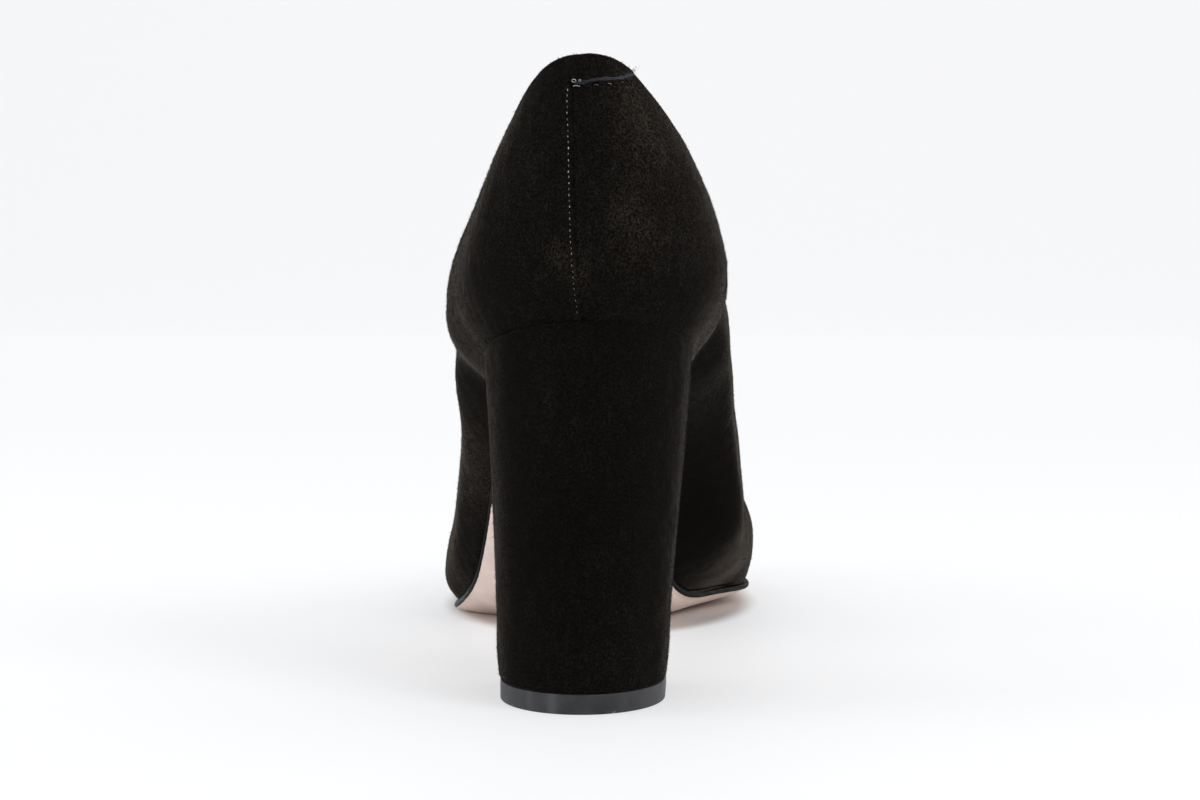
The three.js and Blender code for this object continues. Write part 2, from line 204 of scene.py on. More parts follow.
# Half width of the last at a length and height: from the lower edge out to the widest place over the
# bulge, then in to the crest, and closed round the heel and the toe.
def lastX(y, z, side):
    axis = section("axis", y)
    foot = side * sided("foot", y, side)
    wide = side * sided("wide", y, side)
    toeHeight = closing((last["length"] - y) / last["toeWall"], last["toeWallFullness"])
    feather = edgeHeight(footX(y, side), y)
    bulge = np.maximum(sided("bulge", y, side) * toeHeight, 1e-6)
    rise = z - feather
    crest = np.maximum((section("crest", y) - feather) * toeHeight, bulge + 1e-6)
    swell = (wide - foot) * (1 - (1 - np.clip(rise / bulge, 0, 1)) ** 2)
    low = foot + swell - side * hollowDepth(y, z, rise, side)
    up = np.clip((rise - bulge) / (crest - bulge), 0, 1)
    shape = (1 - up ** section("lean", y)) ** (1 / section("crown", y))
    rounding = np.clip(rise / last["roundRise"], 0, 1)
    radius = last["seatRound"] + (last["collarRound"] - last["seatRound"]) * rounding
    heelEnd = closing((y - backAt(z)) / radius, 2)
    toeEnd = closing((last["length"] - y) / last["toeRound"], last["toeFullness"])
    return axis + (low - axis) * shape * heelEnd * toeEnd


# Length at a share of the way from back to front, with steps that shorten round both ends.
def lengthAt(share, start, startRound, end, endRound, backShare, frontShare):
    back = start + startRound * (1 - np.cos(np.pi / 2 * share / backShare))
    front = end - endRound * (1 - np.cos(np.pi / 2 * (1 - share) / (1 - frontShare)))
    middle = (share - backShare) / (frontShare - backShare)
    between = start + startRound + (end - endRound - start - startRound) * middle
    return np.where(share < backShare, back, np.where(share > frontShare, front, between))


# How the upper's rays are laid: the shares of the way at which the round ends stop, along the lower edge
# and along the collar, the stretch of the axis that they start from, how high in the last, and how far.
rays = {"lowEnds": (0.14, 0.74), "collarEnds": (0.2, 0.8), "from": (26, 185), "height": 0.4, "reach": 140.0}


# The upper's surface: u goes round it from the toe by the outer side, the back (0) and the inner side to
# the toe, t goes up from the lower edge (0) to the collar (1). A ray from inside the last, turned by an
# equal angle for each step of t, meets the surface where halving finds it.
def upperSurface(u, t):
    side = np.where(u < 0, -1, 1)[:, None]
    share = np.abs(u)[:, None]
    lowY = lengthAt(share, 0, last["seatRound"], last["length"], last["toeRound"], *rays["lowEnds"])
    lowX = footX(lowY, side)
    low = np.concatenate([lowX, lowY, edgeHeight(lowX, lowY)], axis=1)
    collarBack = backAt(collarAt(np.zeros_like(share), side))
    collarEnds = collarBack, last["collarRound"], last["throatY"], last["throatRound"]
    highY = lengthAt(share, *collarEnds, *rays["collarEnds"])
    highZ = collarAt(highY, side)
    high = np.concatenate([lastX(highY, highZ, side), highY, highZ], axis=1)
    middle = np.clip((lowY + highY) / 2, *rays["from"])
    top = np.minimum((collarAt(middle, -1) + collarAt(middle, 1)) / 2, section("crest", middle))
    feather = section("feather", middle)
    rayHeight = feather + (top - feather) * rays["height"]
    origin = np.concatenate([section("axis", middle), middle, rayHeight], axis=1)
    toLow = low - origin
    toHigh = high - origin
    lowLength = np.linalg.norm(toLow, axis=1, keepdims=True)
    highLength = np.linalg.norm(toHigh, axis=1, keepdims=True)
    turn = np.arccos(np.sum(toLow * toHigh, axis=1, keepdims=True) / lowLength / highLength)
    direction = (toLow / lowLength)[:, None, :] * np.sin((1 - t) * turn)[..., None]
    direction += (toHigh / highLength)[:, None, :] * np.sin(t * turn)[..., None]
    direction = unit(direction)
    inside = np.zeros(t.shape)
    outside = np.full(t.shape, rays["reach"])
    for _ in range(26):
        middleWay = (inside + outside) / 2
        p = origin[:, None, :] + direction * middleWay[..., None]
        x, y, z = p[..., 0], p[..., 1], p[..., 2]
        isIn = (y < last["length"]) & (y > backAt(z)) & (x > lastX(y, z, -1)) & (x < lastX(y, z, 1))
        inside = np.where(isIn, middleWay, inside)
        outside = np.where(isIn, outside, middleWay)
    surface = origin[:, None, :] + direction * inside[..., None]
    surface = np.where((t <= 0)[..., None], low[:, None, :], surface)
    return np.where((t >= 1)[..., None], high[:, None, :], surface)


# Outward normals of a grid that is closed along its first direction.
def gridNormals(points):
    around = np.roll(points, -1, axis=0) - np.roll(points, 1, axis=0)
    up = np.empty_like(points)
    up[:, 1:-1] = points[:, 2:] - points[:, :-2]
    up[:, 0] = points[:, 1] - points[:, 0]
    up[:, -1] = points[:, -1] - points[:, -2]
    return unit(np.cross(around, up))


# The last's place in the row's frame is read off the heel block's outer side and the sole's tip.
blockOuterX = -24.6
soleTipY = 244.1
shift = np.array([
    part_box("heel_block")[0].x * 1000 - blockOuterX,
    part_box("outsole")[1].y * 1000 - soleTipY,
    0.0,
])


# Mesh object from points in millimetres on the last, and faces of four or three points.
def makePiece(name, points, faces, material, attributes=None):
    mesh = bpy.data.meshes.new(name)
    points = (np.asarray(points).reshape(-1, 3) + shift) / 1000
    corners = np.concatenate([f.ravel() for f in faces])
    sizes = np.concatenate([np.full(len(f), f.shape[1]) for f in faces])
    starts = np.concatenate([[0], np.cumsum(sizes)[:-1]])
    mesh.vertices.add(len(points))
    mesh.vertices.foreach_set("co", points.astype(np.float32).ravel())
    mesh.loops.add(len(corners))
    mesh.loops.foreach_set("vertex_index", corners.astype(np.int32))
    mesh.polygons.add(len(sizes))
    mesh.polygons.foreach_set("loop_start", starts.astype(np.int32))
    mesh.polygons.foreach_set("loop_total", sizes.astype(np.int32))
    mesh.polygons.foreach_set("use_smooth", np.ones(len(sizes), bool))
    mesh.update(calc_edges=True)
    for key, values in (attributes or {}).items():
        layer = mesh.attributes.new(key, "FLOAT", "POINT")
        layer.data.foreach_set("value", np.asarray(values, np.float32).ravel())
    mesh.validate()
    mesh.materials.append(material)
    piece = bpy.data.objects.new(name, mesh)
    bpy.context.scene.collection.objects.link(piece)
    return piece


# Four-point faces of a grid, wound so that they face the first direction crossed with the second.
def gridFaces(rows, columns, closeRows=False, closeColumns=False, start=0):
    i = np.arange(rows if closeRows else rows - 1)[:, None]
    j = np.arange(columns if closeColumns else columns - 1)[None, :]
    nextJ = (j + 1) % columns
    row = i * columns
    nextRow = (i + 1) % rows * columns
    faces = np.stack([row + j, nextRow + j, nextRow + nextJ, row + nextJ], axis=-1)
    return faces.reshape(-1, 4) + start


# Faces of a closed body of rings: bands between them, and at both ends a fan round a pole. The poles are
# the two points after the last ring.
def closedFaces(rings, around, start=0):
    j = start + np.arange(around)
    nextJ = np.roll(j, -1)
    lastRing = (rings - 1) * around
    pole = np.full(around, start + rings * around)
    firstFan = np.stack([pole, j, nextJ], axis=-1)
    lastFan = np.stack([pole + 1, lastRing + nextJ, lastRing + j], axis=-1)
    return [gridFaces(rings, around, closeColumns=True, start=start), firstFan, lastFan]


# Closed body from rings, each one a closed loop. Each end is closed to the middle of its ring.
def ringBody(name, rings, material, attributes):
    poles = [rings[0].mean(axis=0), rings[-1].mean(axis=0)]
    points = np.concatenate([rings.reshape(-1, 3), poles])
    return makePiece(name, points, closedFaces(*rings.shape[:2]), material, attributes)


# Round sections: for each point a ring of places, turned from aside to across.
def roundSection(aside, across, turn):
    return aside[:, None] * np.cos(turn)[None, :, None] + across[:, None] * np.sin(turn)[None, :, None]


# Smooth random heights: a sum of waves with seeded directions and phases.
def softNoise(points, size, seed, waves=10):
    random = np.random.default_rng(seed)
    direction = unit(random.normal(size=(waves, 3)))
    direction *= random.uniform(0.6, 1.6, size=(waves, 1)) * 2 * np.pi / size
    phase = random.uniform(0, 2 * np.pi, size=waves)
    flat = np.asarray(points).reshape(-1, 3)
    total = np.sin(flat @ direction.T + phase).sum(axis=1) / math.sqrt(waves)
    return total.reshape(np.asarray(points).shape[:-1])


# Gentle unevenness: smooth random heights added up, each with its rise, size and seed.
def unevenness(points, rows):
    return sum(rise * softNoise(points, size, seed) for rise, size, seed in rows)


# Shader helpers: a node with its inputs set or linked.
class Shader:
    def __init__(self, name):
        self.material = bpy.data.materials.new(name)
        self.material.use_nodes = True
        self.tree = self.material.node_tree
        self.tree.nodes.clear()
        self.output = self.tree.nodes.new("ShaderNodeOutputMaterial")

    def node(self, kind, settings=None, **inputs):
        made = self.tree.nodes.new("ShaderNode" + kind)
        for key, value in (settings or {}).items():
            setattr(made, key, value)
        for key, value in inputs.items():
            self.fill(made, key.replace("_", " "), value)
        return made

    def fill(self, made, key, value):
        socket = made.inputs[int(key[1:])] if key[0] == "i" and key[1:].isdigit() else made.inputs[key]
        if isinstance(value, bpy.types.NodeSocket):
            self.tree.links.new(value, socket)
        elif isinstance(value, bpy.types.Node):
            self.tree.links.new(value.outputs[0], socket)
        else:
            socket.default_value = value

    def millimetres(self, scale=(1, 1, 1)):
        place = self.node("TexCoord").outputs["Object"]
        size = tuple(1000 * s for s in scale)
        return self.node("Mapping", Vector=place, Scale=size).outputs[0]

    def noise(self, place, size, detail=2, roughness=0.55):
        made = self.node("TexNoise", Vector=place, Scale=1 / size, Detail=detail, Roughness=roughness)
        return made.outputs[0]

    def ramp(self, value, low, high, start=0.0, end=1.0):
        made = self.node("MapRange", {"interpolation_type": "SMOOTHSTEP"}, Value=value)
        for key, number in zip(("From Min", "From Max", "To Min", "To Max"), (low, high, start, end)):
            made.inputs[key].default_value = number
        return made.outputs[0]

    def maths(self, operation, a, b):
        return self.node("Math", {"operation": operation}, i0=a, i1=b).outputs[0]

    def mixColour(self, factor, a, b):
        return self.node("MixRGB", Fac=factor, Color1=a, Color2=b).outputs[0]

    def attribute(self, name):
        return self.node("Attribute", {"attribute_name": name}).outputs["Fac"]

    def bump(self, height, distance, strength):
        return self.node("Bump", Height=height, Distance=distance, Strength=strength).outputs[0]

    def finish(self, **inputs):
        surface = self.node("BsdfPrincipled")
        for key, value in inputs.items():
            self.fill(surface, key.replace("_", " "), value)
        self.tree.links.new(surface.outputs[0], self.output.inputs[0])
        return self.material


def tint(r, g, b):
    return (r, g, b, 1.0)


upperLook = {
    "dark": tint(0.0016, 0.0013, 0.0011),
    "light": tint(0.038, 0.0315, 0.025),
    "grainSize": 0.50,
    "grainRange": (0.36, 0.74),
    "mottleSize": 2.6,
    "mottleRange": (0.42, 0.72),
    "mottleLift": (0.5, 0.9),
    "broadSize": 22.0,
    "broadRange": (0.3, 0.7),
    "broadLift": (0.08, 0.20),
    "sheen": 0.50,
    "sheenRoughness": 0.15,
    "sheenTint": tint(0.62, 0.53, 0.45),
    "bump": 0.0004,
    "bumpStrength": 0.7,
}
heelLook = {**upperLook, "light": tint(0.028, 0.023, 0.019), "sheen": 0.30}


# Suede: dark nap with fine grain and a soft sheen at grazing angles. It is lightened by the grain times
# the mottle times the sum of a broad cloud and the attribute that holds brushed nap and painted light.
def suede(name, look):
    s = Shader(name)
    mm = s.millimetres()
    grain = s.noise(mm, look["grainSize"], 3, 0.7)
    mottle = s.noise(s.millimetres((1, 1, 0.5)), look["mottleSize"], 4, 0.65)
    broad = s.ramp(s.noise(mm, look["broadSize"], 2), *look["broadRange"], *look["broadLift"])
    mottled = s.ramp(mottle, *look["mottleRange"], *look["mottleLift"])
    lift = s.maths("MULTIPLY", s.ramp(grain, *look["grainRange"]), mottled)
    # Brushed nap and painted light, from the mesh's attribute, lighten the colour.
    lift = s.maths("MULTIPLY", lift, s.maths("ADD", s.attribute("brushedAndLit"), broad))
    height = s.maths("ADD", s.maths("MULTIPLY", grain, 0.6), s.maths("MULTIPLY", mottle, 0.7))
    return s.finish(
        Base_Color=s.mixColour(lift, look["dark"], look["light"]),
        Roughness=1.0,
        Specular_IOR_Level=0.05,
        Sheen_Weight=look["sheen"],
        Sheen_Roughness=look["sheenRoughness"],
        Sheen_Tint=look["sheenTint"],
        Normal=s.bump(height, look["bump"], look["bumpStrength"]),
    )


upper = {
    "wall": 2.0,
    "suedeWall": 1.35,
    "rimLift": 0.35,                # how far the round fold stands above the collar's line
    "rimSteps": 10,
    "topBand": 9.0,                 # height of the finely stepped band under the collar
    "topStep": 0.25,
    "lowRows": 56,
    "turned": (1.7, 2.4, 2.55),     # rows of the turned edge, down from the collar on the inside
    "innerFrom": 3.0,               # where the inner face starts, below the collar, and its last row
    "innerTo": 2.0,
    "innerRows": 24,
    "footRound": 0.3,               # how the suede turns in over the sole
    "margin": [(2.2, 1.1), (2.2, -0.2), (0.25, -0.2)],  # turned under the insole: inset and height
    "liningGap": 0.05,
    "liningFrom": 2.6,              # where the lining starts, below the collar, and its last row
    "liningTo": 2.2,
    "liningRows": 34,
    "liningFoot": [(2.3, 1.75), (2.3, 1.2)],            # beside the insole's edge: inset and height
    "uneven": [(0.08, 16, 3), (0.03, 6, 4)],
}
# Columns round the upper, where each stretch starts and how many it has: they are close together at the
# back seam and the tab and wider apart elsewhere.
stretches = [(-1, 210), (-0.2, 70), (-0.03, 84), (0.075, 56), (0.2, 210), (1, 0)]

# Where the back seam's stitches run, from the heel up to the collar: height and x.
seamRows = np.array([[87.2, -1.4], [93.2, -2.2], [102.7, -2.8], [114, -3.3], [128, -3.5], [131, -3.8],
                     [146, -3.9]])
# The lower edge of the tab that the outer quarter carries over the seam: x and height.
tabRows = np.array([[-3.9, 138.9], [-0.2, 139.1], [2.6, 139.85], [6.1, 140.1], [8.4, 140.6], [10.2, 141.4],
                    [11.6, 143.2], [13.0, 148.0]])
lap = {"rise": 0.42, "fromStitch": 0.6, "fadeFrom": 1.5, "fadeOver": 7.0, "edge": 0.3, "groove": 0.25,
       "grooveAt": 0.24, "grooveWidth": 0.4}
tab = {"rise": 0.8, "endRise": 0.35, "thinFrom": 3.0, "thinTo": 10.5, "edge": 0.35}


# Where the stitches, the seam beside them and the tab's lower edge run: straight between the rows.
def stitchAt(z):
    return np.interp(z, seamRows[:, 0], seamRows[:, 1])


def seamAt(z):
    return stitchAt(z) + lap["fromStitch"]


def tabEdgeAt(x):
    return np.interp(x, tabRows[:, 0], tabRows[:, 1])


# The tab stands proud at the seam and thins towards its end.
def tabRiseAt(x):
    return tab["rise"] + (tab["endRise"] - tab["rise"]) * grow(x, tab["thinFrom"], tab["thinTo"])


# Length at which the last's back has a given x and height, found by halving.
def backSurfaceY(x, z):
    side = np.where(x < 0, -1, 1)
    low, high = backAt(z), backAt(z) + 30
    for _ in range(30):
        middle = (low + high) / 2
        isShort = np.abs(lastX(middle, z, side)) < np.abs(x)
        low = np.where(isShort, middle, low)
        high = np.where(isShort, high, middle)
    return low


# The upper's outer surface as a grid of columns and rows, with its normals. Low rows share out the height
# up to the top band, and the band's rows lie a fixed step apart down from the collar.
def upperGrid():
    neighbours = zip(stretches, stretches[1:])
    columns = [np.linspace(a, b, count, endpoint=False) for (a, count), (b, _) in neighbours]
    u = np.append(np.concatenate(columns)[1:], 1.0)
    nearTop = 0.04
    near = upperSurface(u, np.repeat([[1 - nearTop, 1.0]], len(u), axis=0))
    speed = np.linalg.norm(near[:, 1] - near[:, 0], axis=1) / nearTop
    bandFrom = 1 - upper["topBand"] / speed
    low = bandFrom[:, None] * np.linspace(0, 1, upper["lowRows"], endpoint=False)[None, :]
    steps = int(round(upper["topBand"] / upper["topStep"]))
    down = np.linspace(upper["topBand"], 0, steps + 1)
    band = 1 - down[None, :] / speed[:, None]
    points = upperSurface(u, np.concatenate([low, band], axis=1))
    return points, gridNormals(points)


# The row number, as a fraction, of a distance below the collar.
def rowBelow(distance):
    return upper["lowRows"] + (upper["topBand"] - distance) / upper["topStep"]


# Points of a grid at row numbers that may be fractions.
def pickRows(grid, rows):
    low = np.clip(np.floor(rows).astype(int), 0, grid.shape[1] - 2)
    part = (rows - low)[None, :, None]
    return grid[:, low] * (1 - part) + grid[:, low + 1] * part


# Soft creases, each on one side: three places as length and height, then depth and width.
creases = [
    (-1, (147, 15), (157, 25), (163, 41), 0.34, 2.4),
    (-1, (160, 12), (168, 22), (172, 36), 0.30, 2.2),
    (-1, (150, 27), (157, 34), (166, 37), 0.18, 1.6),
    (-1, (84, 72), (92, 60), (104, 44), 0.26, 2.6),
    (-1, (70, 84), (80, 76), (88, 64), 0.22, 2.2),
    (1, (150, 16), (160, 27), (165, 42), 0.32, 2.4),
    (1, (163, 14), (170, 24), (174, 36), 0.26, 2.2),
    (1, (80, 78), (90, 66), (102, 50), 0.28, 2.6),
    (1, (96, 66), (104, 54), (116, 40), 0.20, 2.2),
]
# Soft swells that fill the hollow's ends and trim the cup: side, length, height, reach and rise.
swells = [(-1, 66, 81, 7.5, 1.8), (1, 61, 90.5, 7, 1.5), (1, 41, 98, 12, -0.5)]
ridge = {"rise": 0.4, "away": 2.1}


# Soft troughs and ridges: distance from a curved line over the last's side, as a trough with a low ridge
# on both sides, fading at the line's ends.
def crease(points, side, start, middle, end, depth, width):
    way = np.linspace(0, 1, 40)[:, None]
    line = (1 - way) ** 2 * np.array(start) + 2 * way * (1 - way) * np.array(middle) + way**2 * np.array(end)
    line = np.stack([lastX(line[:, 0], line[:, 1], side), line[:, 0], line[:, 1]], axis=-1)
    flat = points.reshape(-1, 3)
    distance = np.full(len(flat), 1e9)
    strength = np.zeros(len(flat))
    for place, point in zip(way[:, 0], line):
        far = np.linalg.norm(flat - point, axis=1)
        nearer = far < distance
        distance = np.where(nearer, far, distance)
        strength = np.where(nearer, math.sin(math.pi * (0.06 + 0.88 * place)), strength)
    trough = ridge["rise"] * bell(distance - ridge["away"] * width, width) - bell(distance, width)
    return (depth * strength * trough).reshape(points.shape[:-1])


# Height that the suede stands off the smooth surface, in millimetres: the lap with a groove beside it, the
# tab over both, and then unevenness, swells and creases.
def upperRelief(points):
    x, y, z = points[..., 0], points[..., 1], points[..., 2]
    overSeam = seamAt(z) - x
    lapHeight = lap["rise"] * ease(overSeam / lap["edge"] + 0.5)
    lapHeight *= 1 - ease((overSeam - lap["fadeFrom"]) / lap["fadeOver"])
    groove = -lap["groove"] * bell(overSeam + lap["grooveAt"], lap["grooveWidth"])
    onTab = ease((z - tabEdgeAt(x)) / tab["edge"] + 0.5) * grow(x, -10, -2)
    tabHeight = tabRiseAt(x) * onTab
    beside = lapHeight + groove * (1 - onTab) + tabHeight
    height = np.where(overSeam > 0, np.maximum(lapHeight, tabHeight), beside)
    height *= grow(y, 40, 30)
    height += unevenness(points, upper["uneven"])
    for side, middleY, middleZ, reach, rise in swells:
        height += rise * bell(y - middleY, reach) * bell(z - middleZ, reach) * grow(side * x, 0, 10)
    for line in creases:
        height += crease(points, *line)
    return height


# How much lighter the upper's nap is made in each place: brushed nap, and painted light where the inner
# counter, the heel cup's turn and the outer forefoot catch light. The spots at the seam's foot also have a
# middle and a reach, as x and height, and a lean.
brushingAndLight = {
    "counter": 0.28,
    "innerCounterAndLight": 0.75,
    "spots": [(0.5, (-0.7, 97), (2.0, 6), 0), (0.8, (-5.5, 101), (2.6, 4), -0.5)],
    "paintedCupSheen": 0.7,
    "outerTop": 0.2,
    "paintedForefootLight": 0.35,
    "paintedOuterLight": 2.2,
    "most": 3,
}


# Soft spot: a bell across the shoe times a bell up it. Its middle moves sideways by its lean with height.
def spot(x, z, middle, reach, lean=0):
    return bell(x - middle[0] - lean * (z - middle[1]), reach[0]) * bell(z - middle[1], reach[1])


# The nap's brushed and lit places: the counter, and more of it on its inner side as brushed nap with
# painted light, rubbed spots beside the seam's foot, a painted sheen on the turn of the heel cup over the
# hollow, under the collar outside, and painted light on the forefoot towards its outer side.
def brushedAndLitPlaces(points):
    x, y, z = points[..., 0], points[..., 1], points[..., 2]
    atBack = grow(y, 30, 18)
    forward = grow(y, 75, 100)
    # Painted light: the forefoot is lighter towards its outer side, as lit from that side.
    paintedForefootLight = brushingAndLight["paintedForefootLight"] * grow(x, 14, -36)
    paintedForefootLight += brushingAndLight["paintedOuterLight"] * grow(z, 22, 62) * grow(x, -18, -28)
    plain = brushingAndLight["counter"] * (1 - forward) + paintedForefootLight * forward
    # The inner counter: brushed nap with painted light, as lit from the inner side.
    inner = grow(x, 2, 12) * grow(z, 92, 110) * grow(y, 60, 20) * (0.6 + 0.4 * softNoise(points, 26, 8))
    middle, _, top = hollowAt(z, np.where(x < 0, -1, 1))
    # Painted sheen where the heel cup turns out of sight.
    turn = bell(y - middle + 11, 5.0) * grow(z, top + 4, top - 4) * grow(z, 66, 72)
    outerTop = grow(x, -6, -14) * grow(z, 105, 120) * atBack
    patches = brushingAndLight["innerCounterAndLight"] * inner + brushingAndLight["paintedCupSheen"] * turn + brushingAndLight["outerTop"] * outerTop
    for amount, *place in brushingAndLight["spots"]:
        patches += amount * spot(x, z, *place) * atBack
    return np.clip(plain + patches, 0, brushingAndLight["most"])


# Rows beside the upper's lower edge: each is drawn in from it in plan by its inset and raised by its height.
def besideEdge(low, rows):
    around = np.roll(low, -1, axis=0) - np.roll(low, 1, axis=0)
    inPlan = unit(np.stack([-around[..., 1], around[..., 0], 0 * around[..., 0]], axis=-1))
    inset, height = np.array(rows).T[:, None, :, None]
    return low + inPlan * inset + np.array([0, 0, 1.0]) * height


# The suede: one closed section goes up the outer face, over the round fold, down the turned edge and the
# inner face, and under the insole's edge, and it is carried round the shoe.
def makeUpper(base, normals, material):
    wall, depth = upper["wall"], upper["suedeWall"]
    rimFrom = wall / 2 - upper["rimLift"]
    outerRows = np.arange(0, rowBelow(rimFrom) - 0.3)
    phi = np.linspace(0, math.pi, upper["rimSteps"] + 1)
    rimRows = rowBelow(rimFrom - wall / 2 * np.sin(phi))
    turnedRows = rowBelow(np.array(upper["turned"]))
    innerRows = np.linspace(rowBelow(upper["innerFrom"]), upper["innerTo"], upper["innerRows"])
    rows = np.concatenate([outerRows, rimRows, turnedRows, innerRows])
    depths = np.concatenate([
        np.zeros(len(outerRows)),
        wall / 2 * (1 - np.cos(phi)),
        [wall, wall, depth],
        np.full(len(innerRows), depth),
    ])
    stand = np.concatenate([
        np.ones(len(outerRows)),
        (1 + np.cos(phi)) / 2,
        np.zeros(len(turnedRows) + len(innerRows)),
    ])
    surface = pickRows(base, rows)
    outward = unit(pickRows(normals, rows))
    above = np.linalg.norm(surface - surface[:, :1], axis=2)
    turnIn = upper["footRound"] * (1 - closing(above / upper["footRound"], 2)) * (depths[None, :] < 0.1)
    offset = upperRelief(surface) * stand - depths[None, :] - turnIn
    margin = besideEdge(base[:, :1], upper["margin"])
    points = np.concatenate([surface + outward * offset[..., None], margin], axis=1)
    brushedAndLit = brushedAndLitPlaces(np.concatenate([surface, margin], axis=1))
    faces = gridFaces(*points.shape[:2], closeRows=True, closeColumns=True)
    piece = makePiece("suede_upper", points, [faces], material, {"brushedAndLit": brushedAndLit})
    shown = len(outerRows) + upper["rimSteps"] // 2 + 1
    return piece, points[:, :shown], outward[:, :shown]


# The lining: a closed section goes up inside the suede to below the turned edge and down again, to a foot
# beside the insole that covers the suede's margin. It has every other column of the upper.
def makeLining(base, normals, material):
    up = np.linspace(upper["liningTo"], rowBelow(upper["liningFrom"]), upper["liningRows"])
    rows = np.concatenate([up, up[::-1]])
    depths = np.repeat([upper["suedeWall"], upper["wall"]], len(up)) + upper["liningGap"]
    surface = pickRows(base, rows)[::2]
    outward = unit(pickRows(normals, rows)[::2])
    points = surface - outward * depths[None, :, None]
    points = np.concatenate([points, besideEdge(base[::2, :1], upper["liningFoot"])], axis=1)
    faces = gridFaces(*points.shape[:2], closeRows=True, closeColumns=True)
    return makePiece("upper_lining", points, [faces], material)


nap = {
    "backCount": 46000,
    "sideCount": 40000,
    "heelCount": 46000,
    "width": 0.055,
    "sunk": 0.08,               # how deep a fibre's foot stands in the suede
    "spread": 0.7,
    "flat": 1.2,                # how much a fibre leans along the surface, and downwards
    "down": 0.3,
    "length": (0.22, 0.42),     # least, and what chance adds
    "long": (0.5, 0.03),        # what the long ones have more, and their share
    # Where brushing is named below, it is the brushed nap and the painted light together.
    "pale": (0.2, 0.5),         # share of pale ones, and what brushing adds
    "dull": (0.04, 0.13),       # tone of the pale ones, and what chance adds
    "bright": (0.03, 0.5),      # tone that a few have more, and what brushing adds
    "unbrushedUnlit": 0.35,          # how much of its tone is left where nothing is brushed
    "darkTone": 0.04,
}
fibreLook = {
    "nap": (tint(0.003, 0.0025, 0.0021), tint(0.150, 0.128, 0.106)),
    "fuzz": (tint(0.012, 0.011, 0.010), tint(0.46, 0.42, 0.39)),
    "fray": (tint(0.018, 0.019, 0.025), tint(0.24, 0.255, 0.30)),
}


# Fibres: matt, between a dark and a light colour by their tone.
def fibre(name, dark, light):
    s = Shader(name)
    grain = s.ramp(s.noise(s.millimetres(), 0.3, 2), 0.2, 0.8, 0.6, 1.0)
    colour = s.mixColour(s.maths("MULTIPLY", s.attribute("tone"), grain), dark, light)
    return s.finish(Base_Color=colour, Roughness=0.9, Specular_IOR_Level=0.1)


# Fibres on suede: slim closed pyramids with three sides, their feet sunk in and their tips leaning.
def makeFibres(name, roots, outward, lean, lengths, width, spread, material, tones, seed):
    random = np.random.default_rng(seed)
    direction = unit(outward + lean + spread * random.normal(size=roots.shape))
    aside = unit(np.cross(direction, unit(random.normal(size=roots.shape))))
    turn = np.array([0, 2, 4]) * math.pi / 3
    foot = roots - outward * nap["sunk"]
    ring = foot[:, None] + roundSection(aside, np.cross(direction, aside), turn) * width
    tip = foot + direction * lengths[:, None]
    points = np.concatenate([ring, tip[:, None]], axis=1)
    first = 4 * np.arange(len(roots))[:, None, None]
    faces = (first + np.array([[0, 2, 1], [0, 1, 3], [1, 2, 3], [2, 0, 3]])[None]).reshape(-1, 3)
    return makePiece(name, points, [faces], material, {"tone": np.repeat(tones, 4)})


# Places spread over a grid: cells are drawn by area and weight, and a spot in each at random.
def scatter(points, normals, weight, count, seed):
    random = np.random.default_rng(seed)
    around = np.roll(points, -1, axis=0)[:, :-1] - points[:, :-1]
    up = points[:, 1:] - points[:, :-1]
    chance = np.linalg.norm(np.cross(around, up), axis=2) * weight[:, :-1]
    cell = random.choice(chance.size, count, p=(chance / chance.sum()).ravel())
    i, j = np.divmod(cell, chance.shape[1])
    nextI = (i + 1) % len(points)
    f, g = random.random((2, count, 1))

    def between(grid):
        low = grid[i, j] * (1 - f) + grid[nextI, j] * f
        high = grid[i, j + 1] * (1 - f) + grid[nextI, j + 1] * f
        return low * (1 - g) + high * g

    return between(points), unit(between(normals)), random


# A nap over part of a grid: each fibre leans any way along the surface and a little downwards. Most are
# dark, and more are pale, and paler, where brushed nap and painted light make the suede lighter.
def makeNap(name, points, normals, weight, count, material, seed, brushedAndLitAt):
    roots, outward, random = scatter(points, normals, weight, count, seed)
    lengths = nap["length"][0] + nap["length"][1] * random.random(count)
    lengths += nap["long"][0] * (random.random(count) < nap["long"][1])
    brushedAndLit = np.minimum(brushedAndLitAt(roots), 1)
    pale = random.random(count) < nap["pale"][0] + nap["pale"][1] * brushedAndLit
    tone = nap["dull"][0] + nap["dull"][1] * random.random(count)
    tone += (nap["bright"][0] + nap["bright"][1] * brushedAndLit**2) * random.random(count) ** 3
    tone *= nap["unbrushedUnlit"] + (1 - nap["unbrushedUnlit"]) * grow(brushedAndLit, 0, 0.25)
    tones = np.where(pale, tone, nap["darkTone"] * random.random(count))
    along = unit(np.cross(outward, random.normal(size=roots.shape)))
    lean = nap["flat"] * along - np.array([0, 0, nap["down"]])
    shape = nap["width"], nap["spread"]
    return makeFibres(name, roots, outward, lean, lengths, *shape, material, tones, seed + 1)


